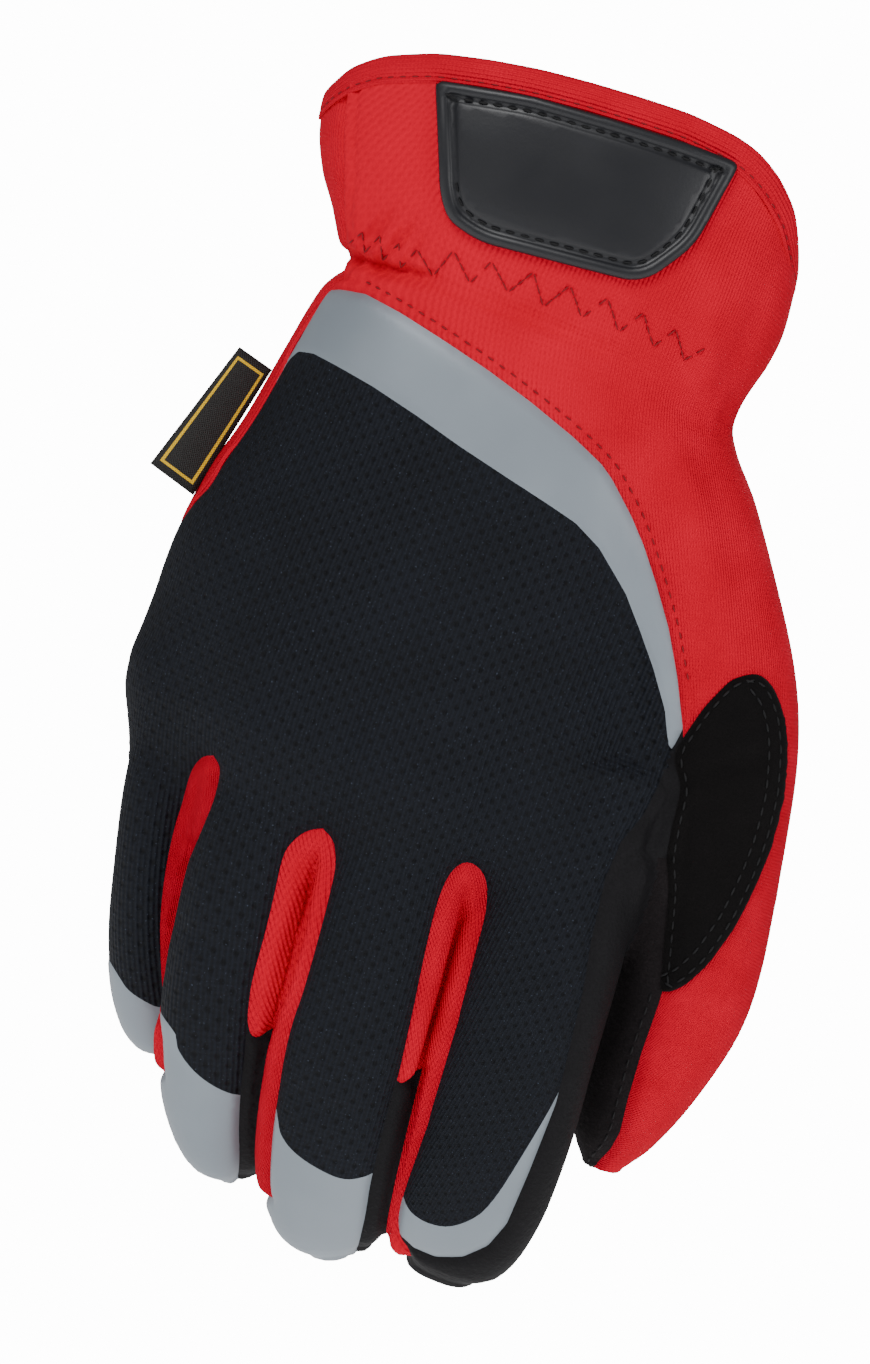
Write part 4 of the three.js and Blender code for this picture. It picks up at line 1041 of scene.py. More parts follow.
def makeKnit(name, ribPitch=None, slant=None, deep=0.32):
    # nylon and elastane stretch knit: matt, with slanting ribs a thread apart, drawn a little coarse to show; painted
    # shade darkens the valleys between the ribs
    size = knitFinish
    material, tree, skin = newMaterial(name, size["red"], 0.9, Specular_IOR_Level=0.08)
    uv, across, up = clothPlace(tree)
    slant = size["ribSlant"] if slant is None else slant
    pitch = ribPitch or size["ribPitch"]
    along = calc(tree, "MULTIPLY_ADD", up, slant, across)
    rib = wave(tree, along, pitch)
    row = wave(tree, up, size["rowPitch"])
    stitch = calc(tree, "MULTIPLY_ADD", row, 0.35, rib)
    fuzz = noise(tree, uv, 0.9, 3.0)
    cloud = noise(tree, uv, 0.07, 2.0)
    height = calc(tree, "MULTIPLY_ADD", fuzz, 0.9, stitch)
    share = ramp(tree, height, 0.2, 0.28)
    colour = blendColour(tree, share, size["red"], size["shade"])
    colour = blendColour(tree, ramp(tree, cloud, 1.6, -0.55), colour, size["light"])
    # painted shade: the low parts of the ribs darkened towards the shade colour
    valleyShaded = blendColour(tree, ramp(tree, height, -0.35, 0.2), colour, size["shade"])
    tree.links.new(valleyShaded, skin.inputs["Base Color"])
    raiseSurface(tree, skin, height, deep * 0.35)
    return material


meshFinish = {"ribPitch": 0.95, "rowPitch": 1.1, "holesAcross": 3.9, "holesUp": 1.7, "hole": 0.72}


def makeMeshCloth():
    # polyester mesh: fine upright ribs, with rows of pinholes of which every second is shifted by half a hole; painted
    # highlight on the raised ribs, painted shade in the pinholes and small painted glints
    size = meshFinish
    material, tree, skin = newMaterial("ribbedMesh", "#0B0C10", 0.75, Specular_IOR_Level=0.16)
    uv, across, up = clothPlace(tree)
    rib = wave(tree, across, size["ribPitch"])
    row = wave(tree, up, size["rowPitch"])
    rows = calc(tree, "MULTIPLY", up, 1 / size["holesUp"])
    line = calc(tree, "FLOOR", rows)
    shift = calc(tree, "MULTIPLY", calc(tree, "MODULO", line, 2.0), 0.5)
    u = calc(tree, "ADD", calc(tree, "MULTIPLY", across, 1 / size["holesAcross"]), shift)
    du = calc(tree, "MULTIPLY", calc(tree, "SUBTRACT", calc(tree, "FRACT", u), 0.5), size["holesAcross"])
    dv = calc(tree, "MULTIPLY", calc(tree, "SUBTRACT", calc(tree, "FRACT", rows), 0.5), size["holesUp"])
    away = calc(tree, "SQRT", calc(tree, "ADD", calc(tree, "MULTIPLY", du, du), calc(tree, "MULTIPLY", dv, dv)))
    hole = calc(tree, "SUBTRACT", 1.0, calc(tree, "DIVIDE", away, size["hole"]), clamp=True)
    fuzz = noise(tree, uv, 1.3, 3.0)
    cloud = noise(tree, uv, 0.06, 2.0)
    height = calc(tree, "MULTIPLY_ADD", row, 0.4, rib)
    height = calc(tree, "MULTIPLY_ADD", fuzz, 0.8, height)
    height = calc(tree, "MULTIPLY_ADD", hole, -3.4, height)
    colour = blendColour(tree, ramp(tree, cloud, 1.4, -0.4), "#0C0E13", "#12151C")
    # painted highlight: the raised ribs lightened
    colour = blendColour(tree, ramp(tree, height, 0.16, 0.1), colour, "#1C212B")
    # painted shade: the pinholes darkened to near black
    colour = blendColour(tree, calc(tree, "MULTIPLY", hole, 0.7), colour, "#040405")
    # painted glints: small scattered lighter specks
    glintNoise = noise(tree, uv, 2.4, 1.0)
    glint = ramp(tree, glintNoise, 9.0, -6.1)
    colour = blendColour(tree, glint, colour, "#3A4250")
    tree.links.new(colour, skin.inputs["Base Color"])
    raiseSurface(tree, skin, height, 0.09)
    return material


def makeFilm():
    # reflective transfer film: smooth, grey, faintly metallic, with a fine grain of glass beads
    material, tree, skin = newMaterial("reflectiveFilm", "#778089", 0.5, Metallic=0.2, Specular_IOR_Level=0.5)
    place = solidPlace(tree)
    grain = noise(tree, place, 2600.0, 2.0)
    cloud = noise(tree, place, 45.0, 2.0)
    colour = blendColour(tree, ramp(tree, cloud, 1.5, -0.4), "#7A838B", "#8A939B")
    tree.links.new(colour, skin.inputs["Base Color"])
    tree.links.new(calc(tree, "MULTIPLY_ADD", cloud, 0.16, 0.44), skin.inputs["Roughness"])
    raiseSurface(tree, skin, grain, 0.02, 0.6)
    return material


def makeHide(name, dark, light, nap, grain, depth, roughness, sheen):
    # synthetic leather or suede: a nap of short fibres over a soft grain
    material, tree, skin = newMaterial(name, dark, roughness, Sheen_Weight=sheen, Specular_IOR_Level=0.12)
    skin.inputs["Sheen Tint"].default_value = toLinear("#B9AEB0")
    place = solidPlace(tree)
    fine = addNode(tree, "ShaderNodeTexNoise", {"Scale": 1000 / nap, "Detail": 4.0, "Roughness": 0.65}, Vector=place)
    wide = noise(tree, place, 1000 / (grain * 6), 3.0)
    cells = addNode(tree, "ShaderNodeTexVoronoi", {"Scale": 1000 / grain}, Vector=place)
    height = calc(tree, "MULTIPLY_ADD", cells.outputs["Distance"], 0.8, fine.outputs[0])
    share = ramp(tree, fine.outputs[0], 1.6, -0.5)
    share = calc(tree, "MULTIPLY", share, ramp(tree, wide, 1.6, -0.1))
    tree.links.new(blendColour(tree, share, dark, light), skin.inputs["Base Color"])
    raiseSurface(tree, skin, height, depth)
    return material


def makeRubber():
    # moulded soft PVC: smooth, satin, with a faint mould texture
    material, tree, skin = newMaterial("mouldedRubber", "#131419", 0.4, Specular_IOR_Level=0.45)
    place = solidPlace(tree)
    grain = noise(tree, place, 1500.0, 3.0)
    cloud = noise(tree, place, 60.0, 2.0)
    tree.links.new(calc(tree, "MULTIPLY_ADD", cloud, 0.2, 0.34), skin.inputs["Roughness"])
    raiseSurface(tree, skin, grain, 0.03, 0.7)
    return material


def makeThread(name, colour):
    # twisted polyester sewing thread: its plies catch the light in small flecks
    material, tree, skin = newMaterial(name, colour, 0.7, Specular_IOR_Level=0.3)
    place = solidPlace(tree)
    plies = noise(tree, place, 3200.0, 1.0)
    raiseSurface(tree, skin, calc(tree, "MULTIPLY", plies, 0.08), 0.5)
    return material


ribbonFinish = {"width": 9.2, "length": 28.4, "weave": 0.55, "borderAcross": 3.3, "borderAlong": 12.3,
                "borderHalf": 0.28, "ground": "#1C1B1A", "border": "#E3B713"}


def makeRibbon():
    # woven satin label: black ground with a plain yellow border
    size = ribbonFinish
    material, tree, skin = newMaterial("wovenRibbon", size["ground"], 0.6, Specular_IOR_Level=0.35)
    _, across, along = clothPlace(tree)
    height = calc(tree, "MULTIPLY", wave(tree, along, size["weave"]), wave(tree, across, size["weave"]))
    edgeU = calc(tree, "ABSOLUTE", calc(tree, "SUBTRACT", across, size["width"] / 2))
    edgeV = calc(tree, "ABSOLUTE", calc(tree, "SUBTRACT", along, size["length"] / 2))
    inner = calc(tree, "MAXIMUM", calc(tree, "SUBTRACT", edgeU, size["borderAcross"]),
                 calc(tree, "SUBTRACT", edgeV, size["borderAlong"]))
    border = calc(tree, "LESS_THAN", calc(tree, "ABSOLUTE", inner), size["borderHalf"])
    tree.links.new(blendColour(tree, border, size["ground"], size["border"]), skin.inputs["Base Color"])
    raiseSurface(tree, skin, height, 0.06)
    return material


def makeStage():
    # matt white acrylic lit from below, so it throws no hard shadow
    material, tree, skin = newMaterial("whiteAcrylic", "#F4F4F4", 0.9, Specular_IOR_Level=0.0)
    skin.inputs["Emission Color"].default_value = (1, 1, 1, 1)
    skin.inputs["Emission Strength"].default_value = 0.7
    place = solidPlace(tree)
    grain = noise(tree, place, 3.0, 2.0)
    tree.links.new(blendColour(tree, grain, "#F4F4F4", "#F1F1F2"), skin.inputs["Base Color"])
    return material


finishes = {
    "knit": makeKnit("stretchKnit"), "binding": makeKnit("ribbedBinding", 0.85, 0.0, 0.4),
    "strip": makeKnit("slotKnit", 0.9, 0.75, 0.45), "mesh": makeMeshCloth(), "film": makeFilm(),
    "leather": makeHide("palmLeather", "#0E0D0F", "#1C1B1E", 0.5, 1.1, 0.12, 0.66, 0.0),
    "suede": makeHide("blackSuede", "#070606", "#120F10", 0.35, 0.9, 0.16, 0.95, 0.03),
    "napped": makeHide("brushedSuede", "#100D0E", "#2A2527", 0.4, 1.3, 0.2, 0.95, 0.05),
    "rubber": makeRubber(), "ribbon": makeRibbon(), "stage": makeStage(),
    "redThread": makeThread("redThread", "#7C0C16"), "darkThread": makeThread("blackThread", "#0C0C0E"),
}
print("finishes made")


# The cloth
def makeCloth():
    points, quads = surfaceNet(gloveForm["grid"])
    points = ontoSurface(points, 2)
    points = relaxed(points, quads, gloveForm["relaxSteps"])
    print("surface sampled:", len(points), "points")
    first = np.linalg.norm(points[quads[:, 0]] - points[quads[:, 2]], axis=1)
    second = np.linalg.norm(points[quads[:, 1]] - points[quads[:, 3]], axis=1)
    a, b = quads[first <= second], quads[first > second]
    faces = np.vstack([a[:, [0, 1, 2]], a[:, [0, 2, 3]], b[:, [0, 1, 3]], b[:, [1, 2, 3]]])
    points, faces, label = cutCloth(points, faces)
    used, faces = usedOnly(faces)
    return points[used], faces, label


points, faces, label = makeCloth()
print("seams cut:", len(faces), "triangles")
plainPoints = points
points, normals = shapeCloth(points, faces, label)
clothTree = BVHTree.FromPolygons(points.tolist(), faces.tolist())
print("seams and folds pressed in")

# the slot and the finish of each panel
panelSlots = {
    "gauntlet_back": ("knit", "knit"), "gauntlet_palm": ("knit", "knit"),
    **{name: ("knit", "strip") for name in slotPieces},
    "back_panel": ("mesh", "mesh"), "reflective_yoke": ("film", "film"),
    **{"tip_film_" + name: ("film", "film") for name in fingerOrder},
    "palm_panel": ("leather", "leather"), "thumb_palm": ("napped", "napped"),
}


def finishPiece(piece, node, material):
    if material:
        piece.data.materials.clear()
        piece.data.materials.append(finishes[material])
    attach(piece, "root")
    if node:
        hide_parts(node)


def surfaceNormals(points, faces):
    cross = np.cross(points[faces[:, 1]] - points[faces[:, 0]], points[faces[:, 2]] - points[faces[:, 0]])
    total = np.zeros_like(points)
    for c in range(3):
        for k in range(3):
            total[:, k] += np.bincount(faces[:, c], cross[:, k], len(points))
    return unit(total)


def makePanel(name, part, inner, tri, shade, flat):
    # a cut piece of cloth with its own thickness; flat unwraps it the way it was cut
    if flat:
        outer = toMesh(name, part, tri.tolist())
        layFlat(outer)
        uv = np.zeros((len(part), 2), np.float32)
        uv[cornerPoints(outer.data)] = read(outer.data.uv_layers["cloth"].data, "uv", 2, np.float32)
        bpy.data.objects.remove(outer)
    piece = closedSheet(name, part, inner, tri)
    mesh = piece.data
    if flat:
        writeUv(mesh, np.vstack([uv, uv])[cornerPoints(mesh)])
    mesh.normals_split_custom_set_from_vertices(np.vstack([shade, -shade]).tolist())
    return piece


def makePanels():
    inner = points - normals * gloveForm["wall"]
    whole = surfaceNormals(points, faces)
    names, own = vertexPanels(len(points), faces, label)
    flush = (own.sum(1) > 1) & ~own[:, [n not in printed for n in names]].any(1)
    for node, (slot, material) in panelSlots.items():
        used, tri = usedOnly(faces[label == node])
        shade = surfaceNormals(points[used], tri)
        shade[flush[used]] = whole[used][flush[used]]
        panel = makePanel(node + "_cloth", points[used], inner[used], tri, shade,
                          material in ("knit", "strip", "mesh"))
        finishPiece(panel, node, material)


makePanels()
print("panels made")


# Strips, tubes and lines that lie on the cloth
def fromFront(tree, x, z):
    # where a line of sight from in front of the glove first meets a surface
    return tree.ray_cast(Vector((x, -120, z)), Vector((0, 1, 0)))


def onFront(x, z):
    # the place and the normal of the cloth seen at x, z, or of the cloth nearest to it
    hit, normal, _, _ = fromFront(clothTree, x, z)
    if hit is None:
        hit, normal, _, _ = clothTree.find_nearest(Vector((x, -20, z)))
    return np.array(hit), np.array(normal)


def frontPath(line, step, lift, rounds=6):
    # a front-view line laid on the cloth, with its normals smoothed along it
    line = np.array(line, float)
    length = runLength(line)
    count = max(2, int(round(length[-1] / step)) + 1)
    found = [onFront(x, z) for x, z in atLengths(line, length, np.linspace(0, length[-1], count))]
    place, normal = np.array([f[0] for f in found]), np.array([f[1] for f in found])
    normal = unit(evened(normal, rounds))
    return evened(place, rounds) + lift * normal, normal


def sweep(name, path, normal, outline, closed=False):
    # runs a closed outline of (out, up) pairs along a path; returns the object with UVs along it
    count, sides = len(path), len(outline)
    tangent = ringTangent(path) if closed else unit(np.gradient(path, axis=0))
    up = unit(np.cross(normal, tangent))
    outward = unit(np.cross(tangent, up))
    outline = np.array(outline, float)
    ring = path[:, None] + outward[:, None] * outline[None, :, :1] + up[:, None] * outline[None, :, 1:]
    quads, uv = [], []
    along = runLength(ringed(path))
    girth = runLength(ringed(outline))
    for i in range(count if closed else count - 1):
        j = (i + 1) % count
        for k in range(sides):
            m = (k + 1) % sides
            quads.append((i * sides + k, i * sides + m, j * sides + m, j * sides + k))
            uv.append([(girth[k], along[i]), (girth[k + 1], along[i]), (girth[k + 1], along[i + 1]),
                       (girth[k], along[i + 1])])
    if not closed:
        quads.append(tuple(range(sides))[::-1])
        quads.append(tuple((count - 1) * sides + k for k in range(sides)))
        uv += [[(0, 0)] * sides] * 2
    piece = toMesh(name, ring.reshape(-1, 3), quads)
    writeUv(piece.data, [v for face in uv for v in face])
    makeOutward(piece)
    return piece


def makeOutward(piece):
    work = bmesh.new()
    work.from_mesh(piece.data)
    bmesh.ops.recalc_face_normals(work, faces=work.faces)
    if work.calc_volume(signed=True) < 0:
        bmesh.ops.reverse_faces(work, faces=work.faces)
    work.to_mesh(piece.data)
    work.free()


def edgeLoop(faces):
    # the cloth's one open edge, in order
    after = dict(openEdges(faces))
    start = min(after)
    loop = [start]
    while after.get(loop[-1], start) != start and len(loop) < len(after) + 1:
        loop.append(after[loop[-1]])
    return loop


cuffHem = {"height": 4.9, "proud": 0.6, "inside": 0.9, "top": 1.2, "stitchDown": 3.6, "points": 260}


def makeCuffHem():
    size = cuffHem
    closed = ringed(plainPoints[edgeLoop(faces)])
    length = runLength(closed)
    path = atLengths(closed, length, np.linspace(0, length[-1], size["points"], endpoint=False))
    for _ in range(5):
        path = (np.roll(path, 1, 0) + 2 * path + np.roll(path, -1, 0)) / 4
    normal = unit(fieldSlope(ontoSurface(path, 1)))
    wall, out, deep, h = gloveForm["wall"], size["proud"], size["inside"], size["height"]
    # the binding's section, from its lower edge outside over the cuff to the lower edge inside
    outline = [(0.1, -h), (out * 0.8, -h), (out, -h + 0.5), (out * 0.96, -size["stitchDown"] - 0.35),
               (out * 0.62, -size["stitchDown"]), (out * 1.0, -size["stitchDown"] + 0.4), (out * 1.12, -2.2),
               (out * 1.12, -1.0), (out * 0.9, 0.1), (out * 0.35, 0.8), (-wall / 2, size["top"]),
               (-wall - deep * 0.4, 0.8), (-wall - deep * 0.9, 0.1), (-wall - deep * 1.1, -1.0),
               (-wall - deep, -2.6), (-wall - deep * 0.7, -size["stitchDown"]), (-wall - deep, -h + 0.5),
               (-wall - deep * 0.8, -h), (-wall + 0.2, -h), (-wall / 2, -h + 0.6)]
    side = np.cross(normal, ringTangent(path))
    if side[:, 2].mean() < 0:
        path, normal = path[::-1], normal[::-1]
    hem = sweep("cuff_hem_binding", path, normal, outline, closed=True)
    up = unit(np.cross(normal, ringTangent(path)))
    stitchPath = path + up * -size["stitchDown"] + normal * (out * 0.72)
    return hem, stitchPath, normal


hem, hemStitches, hemNormals = makeCuffHem()
finishPiece(hem, "cuff_hem", "binding")
print("hem made")


def rounded(outline, radius, steps=6):
    # rounds the corners of a closed outline
    line = np.array(outline, float)
    out = []
    for i in range(len(line)):
        a, b, c = line[i - 1], line[i], line[(i + 1) % len(line)]
        before, after = a - b, c - b
        wanted = radius[i] if isinstance(radius, list) else radius
        cut = min(wanted, np.linalg.norm(before) / 2.1, np.linalg.norm(after) / 2.1)
        p, q = b + before / np.linalg.norm(before) * cut, b + after / np.linalg.norm(after) * cut
        for t in np.linspace(0, 1, steps):
            out.append(tuple((1 - t) ** 2 * p + 2 * t * (1 - t) * b + t * t * q))
    return out


def shell(name, top, bottom, faces):
    piece = closedSheet(name, top, bottom, faces)
    makeOutward(piece)
    return piece


def raisedSheet(name, size, base, normal, away, faces):
    # a sheet whose height over a surface follows its relief, by the distance from its edge
    height = np.interp(away, *np.array(size["relief"]).T)
    return shell(name, base + normal * height[:, None], base + normal * size["under"], faces)


def reliefSheet(outline, levels, step):
    # front-view triangles inside an outline, with edges along each distance from it
    low, high = np.min(outline, 0) - 2 * step, np.max(outline, 0) + 2 * step
    nx, nz = [int(math.ceil((high[k] - low[k]) / step)) + 1 for k in (0, 1)]
    x, z = np.meshgrid(low[0] + step * np.arange(nx), low[1] + step * np.arange(nz), indexing="ij")
    flat = np.stack([x.ravel(), np.zeros(x.size), z.ravel()], 1)
    i, j = np.meshgrid(np.arange(nx - 1), np.arange(nz - 1), indexing="ij")
    a = (i * nz + j).ravel()
    tri = np.vstack([np.stack([a, a + nz, a + nz + 1], 1), np.stack([a, a + nz + 1, a + 1], 1)])
    away = -signedTo(flat[:, 0], flat[:, 2], outline)
    columns = np.stack([away - level for level in levels] + [away], 1)
    fixed = np.zeros(len(flat), bool)
    for k in range(len(levels)):
        flat, tri, columns, fixed = cutAlong(flat, tri, columns, fixed, k, np.ones(len(flat), bool))
    used, tri = usedOnly(tri[columns[tri][:, :, -1].mean(1) > 0])
    return flat[used], tri, columns[used, -1]


def frontOnForm(flat, start=-75.0):
    # drops front-view points on the smooth form under the cloth
    p = flat.copy()
    p[:, 1] = start
    for _ in range(60):
        p[:, 1] += 0.7 * field(p)
    return p


cuffBadge = {
    "outline": [(-28.5, 4.2), (-10, 7.4), (8, 8.6), (22, 9.2), (31.8, 9.2), (29, -9), (22.3, -19.2), (8, -20.6),
                (-10, -22.2), (-17, -20.2), (-20.2, -16)],
    "corner": [1.8, 3, 3, 3, 2.0, 3.5, 4.5, 4, 3.6, 3.6, 4],
    # distance from the edge, height above the cloth
    "relief": [(0, 0.2), (0.12, 1.4), (0.5, 1.9), (1.2, 2.1), (1.9, 1.95), (2.3, 1.5), (2.5, 1.05), (3.5, 1.0),
               (3.8, 1.3), (4.3, 1.45), (7.0, 1.5)],
    "step": 1.1,
    "under": -0.9,
}


def makeBadge():
    size = cuffBadge
    outline = rounded(size["outline"], size["corner"])
    flat, tri, away = reliefSheet(outline, [d for d, _ in size["relief"]], size["step"] * (1))
    base = frontOnForm(flat)
    return raisedSheet("cuff_badge_rubber", size, base, unit(fieldSlope(base, 2.5)), away, tri)


badge = makeBadge()
finishPiece(badge, "cuff_badge", "rubber")
print("badge made")

saddlePatch = {
    "outline": [(69.5, -82), (73.2, -83.5), (77.2, -88), (80.2, -94), (82.8, -103), (83.8, -112), (83.8, -120),
                (82.8, -130), (80.4, -139), (77.3, -145), (73.6, -148), (72, -142), (70, -135), (68, -128),
                (65.2, -122), (64, -115), (63.2, -108), (59.4, -103), (60.4, -98), (61.9, -92), (65, -85)],
    "relief": [(0, 0.25), (0.25, 0.8), (0.9, 1.05), (3.0, 1.1)],
    "under": -0.5,
    # the cloth it is cut from: least x, lowest and highest z, and how far it may turn to the palm
    "from": (52, -154, -76, 0.55),
}


def makeSaddlePatch():
    size = saddlePatch
    outline = rounded(size["outline"], 2.0)
    x, low, high, turn = size["from"]
    near = (points[:, 0] > x) & (points[:, 2] < high) & (points[:, 2] > low) & (normals[:, 1] < turn)
    used, tri = usedOnly(faces[near[faces].all(1)])
    part = points[used]
    away = -signedTo(part[:, 0], part[:, 2], outline)
    columns = np.column_stack([away, normals[used], away])
    part, tri, columns, _ = cutAlong(part, tri, columns, np.zeros(len(part), bool), 0, np.ones(len(part), bool))
    used, tri = usedOnly(tri[columns[tri][:, :, -1].mean(1) > 0])
    part, columns = part[used], columns[used]
    return raisedSheet("saddle_patch_suede", size, part, unit(columns[:, 1:4]), columns[:, -1], tri)


patch = makeSaddlePatch()
finishPiece(patch, "saddle_patch", "suede")
print("saddle patch made")

sideLabel = {"top": [(-47.7, -56.5), (-40.2, -58.5)], "bottom": [(-56.5, -84), (-46.5, -87)], "loop": 1.1,
             "rows": 14, "columns": 9}


def makeSideLabel():
    # a ribbon folded in two, its ends caught in the seam
    size = sideLabel
    rows, wide = size["rows"], size["columns"]
    top, bottom = np.array(size["top"], float), np.array(size["bottom"], float)
    ends = (0.1, 0.9)
    seamY = [onFront(*(top[1] * (1 - t) + bottom[1] * t + (0.4, 0)))[0][1] for t in ends]
    front = []
    for t in np.linspace(0, 1, rows + 1):
        outer, inner = top * (1 - t) + bottom * t
        y = np.interp(t, ends, seamY) + 1.0 + 0.5 * math.sin(math.pi * t)
        for u in np.linspace(0, 1, wide):
            x, z = inner + (outer - inner) * u
            bow = size["loop"] * math.sin(math.pi * min(u, 0.92) / 1.25)
            front.append((x, y - bow - 1.6 * u * u + 0.8 * u, z))
    front = np.array(front)
    thick = np.sqrt(1 - np.linspace(0, 1, wide) ** 2) * 0.9 + 0.25
    back = front + np.array([0, size["loop"] * 1.3, 0]) * np.tile(thick, rows + 1)[:, None]
    i, j = np.meshgrid(np.arange(rows), np.arange(wide - 1), indexing="ij")
    a = (i * wide + j).ravel()
    tri = np.vstack([np.stack([a, a + 1, a + wide + 1], 1), np.stack([a, a + wide + 1, a + wide], 1)])
    piece = shell("side_label_ribbon", front, back, tri)
    across = np.tile(np.linspace(0, ribbonFinish["width"], wide), rows + 1)
    along = np.repeat(np.linspace(0, ribbonFinish["length"], rows + 1), wide)
    uv = np.stack([np.tile(across, 2), np.tile(along, 2)], 1)
    writeUv(piece.data, uv[cornerPoints(piece.data)])
    return piece


tag = makeSideLabel()
finishPiece(tag, "side_label", "ribbon")
print("side label made")


# Sewing
def stitchTree():
    # runs a curve's length in stitches; each one is a short rounded thread lying on the cloth
    tree = bpy.data.node_groups.new("sewnLine", "GeometryNodeTree")
    face = tree.interface
    face.new_socket("Geometry", in_out="INPUT", socket_type="NodeSocketGeometry")
    for name, value in (("Stitch Length", 0.0024), ("Gap", 0.0008), ("Thread", 0.0005)):
        socket = face.new_socket(name, in_out="INPUT", socket_type="NodeSocketFloat")
        socket.default_value = value
    face.new_socket("Thread Material", in_out="INPUT", socket_type="NodeSocketMaterial")
    face.new_socket("Geometry", in_out="OUTPUT", socket_type="NodeSocketGeometry")
    start, end = tree.nodes.new("NodeGroupInput"), tree.nodes.new("NodeGroupOutput")
    pitch = addNode(tree, "ShaderNodeMath", {"operation": "ADD"}, _0=start.outputs[1], _1=start.outputs[2])
    curve = addNode(tree, "GeometryNodeMeshToCurve", None, Mesh=start.outputs[0])
    spaced = addNode(tree, "GeometryNodeResampleCurve", {"mode": "LENGTH"}, Curve=curve.outputs[0],
                     Length=pitch.outputs[0])
    tangent = addNode(tree, "GeometryNodeInputTangent")
    normal = addNode(tree, "GeometryNodeInputNamedAttribute", {"data_type": "FLOAT_VECTOR"})
    normal.inputs[0].default_value = "clothNormal"
    alongTurn = addNode(tree, "FunctionNodeAlignRotationToVector", {"axis": "X"}, Vector=tangent.outputs[0])
    outTurn = addNode(tree, "FunctionNodeAlignRotationToVector", {"axis": "Z", "pivot_axis": "X"},
                      Rotation=alongTurn.outputs[0], Vector=normal.outputs[0])
    ball = addNode(tree, "GeometryNodeMeshUVSphere", {"Segments": 8, "Rings": 6, "Radius": 0.5})
    size = addNode(tree, "ShaderNodeCombineXYZ", None, X=start.outputs[1], Y=start.outputs[3], Z=start.outputs[3])
    shaped = addNode(tree, "GeometryNodeTransform", None, Geometry=ball.outputs[0], Scale=size.outputs[0])
    placed = addNode(tree, "GeometryNodeInstanceOnPoints", None, Points=spaced.outputs[0], Instance=shaped.outputs[0],
                     Rotation=outTurn.outputs[0])
    real = addNode(tree, "GeometryNodeRealizeInstances", None, Geometry=placed.outputs[0])
    smooth = addNode(tree, "GeometryNodeSetShadeSmooth", None, Geometry=real.outputs[0])
    done = addNode(tree, "GeometryNodeSetMaterial", None, Geometry=smooth.outputs[0], Material=start.outputs[4])
    tree.links.new(done.outputs[0], end.inputs[0])
    return tree, {item.name: item.identifier for item in face.items_tree if item.in_out == "INPUT"}


sewnLine, sewnInputs = stitchTree()


def sew(name, lines, length, gap, thread, material, slot):
    # lines are (points, normals) pairs in millimetres
    vertices, edges, out = [], [], []
    for path, normal in lines:
        first = len(vertices)
        vertices += (np.asarray(path) / 1000).tolist()
        out += np.asarray(normal).tolist()
        edges += [(first + i, first + i + 1) for i in range(len(path) - 1)]
    mesh = bpy.data.meshes.new(name + "Line")
    mesh.from_pydata(vertices, edges, [])
    attribute = mesh.attributes.new("clothNormal", "FLOAT_VECTOR", "POINT")
    attribute.data.foreach_set("vector", np.array(out, np.float32).ravel())
    guide = addObject(name + "Line", mesh)
    row = guide.modifiers.new("sewing", "NODES")
    row.node_group = sewnLine
    for label, value in (("Stitch Length", length / 1000), ("Gap", gap / 1000), ("Thread", thread / 1000),
                         ("Thread Material", finishes[material])):
        row[sewnInputs[label]] = value
    bpy.context.view_layer.update()
    made = bpy.data.meshes.new_from_object(guide.evaluated_get(bpy.context.evaluated_depsgraph_get()))
    made.name = name
    bpy.data.objects.remove(guide)
    finishPiece(addObject(name, made), None, None)


stitching = {
    # stitch length, gap, thread; a gap below zero lets the stitches overlap
    "zigzag": (2.1, -0.15, 0.36), "cuff": (1.5, 1.2, 0.42), "patch": (2.0, 0.8, 0.45), "badge": (2.0, 0.9, 0.5),
    "palm": (2.1, 0.8, 0.45),
    "legTrim": 0.2,              # share of each zigzag leg left bare at both ends
    "yokeAbove": 2.1, "patchInsets": (1.3, 3.6), "badgeInset": 3.0, "spacing": 0.8,
}


def stitchRow(piece, outline, inset, part, lift):
    # a line inside an outline, laid on a piece from the front
    tree = BVHTree.FromPolygons([tuple(v.co * 1000) for v in piece.data.vertices],
                                [tuple(f.vertices) for f in piece.data.polygons])
    hits = [fromFront(tree, x, z) for x, z in offsetLine(ringed(np.array(outline)), -inset)[part]]
    place, normal = [np.array([np.array(hit[k]) for hit in hits if hit[0] is not None]) for k in (0, 1)]
    return place + lift * normal, normal


def makeSewing():
    size = stitching
    corners = np.array(zigzagCorners)
    trim, step = size["legTrim"], size["spacing"]
    zigzag = [frontPath([(1 - trim) * a + trim * b, trim * a + (1 - trim) * b], step, 0.16, 1)
              for a, b in zip(corners[:-1], corners[1:])]
    sew("zigzag_sewing", zigzag, *size["zigzag"], "redThread", "knit")
    yoke = np.array(offsetLine(curved(seamLines["yokeTop"][4:-1], 4), size["yokeAbove"]))
    yoke = yoke[np.r_[True, np.linalg.norm(np.diff(yoke, axis=0), axis=1) > 0.05]]
    red = [frontPath(yoke, step, 0.12),
           (ringed(hemStitches), ringed(hemNormals))]
    sew("cuff_and_yoke_sewing", red, *size["cuff"], "redThread", "knit")
    outline = rounded(saddlePatch["outline"], 2.0)
    rows = [stitchRow(patch, outline, inset, part, 0.1)
            for inset, part in zip(size["patchInsets"], (slice(None), slice(4, 62)))]
    sew("saddle_patch_sewing", rows, *size["patch"], "darkThread", "suede")
    outline = rounded(cuffBadge["outline"], cuffBadge["corner"])
    row = stitchRow(badge, outline, size["badgeInset"], slice(3, -3), 0.12)
    sew("cuff_badge_sewing", [row], *size["badge"], "darkThread", "rubber")


makeSewing()
print("sewing done")


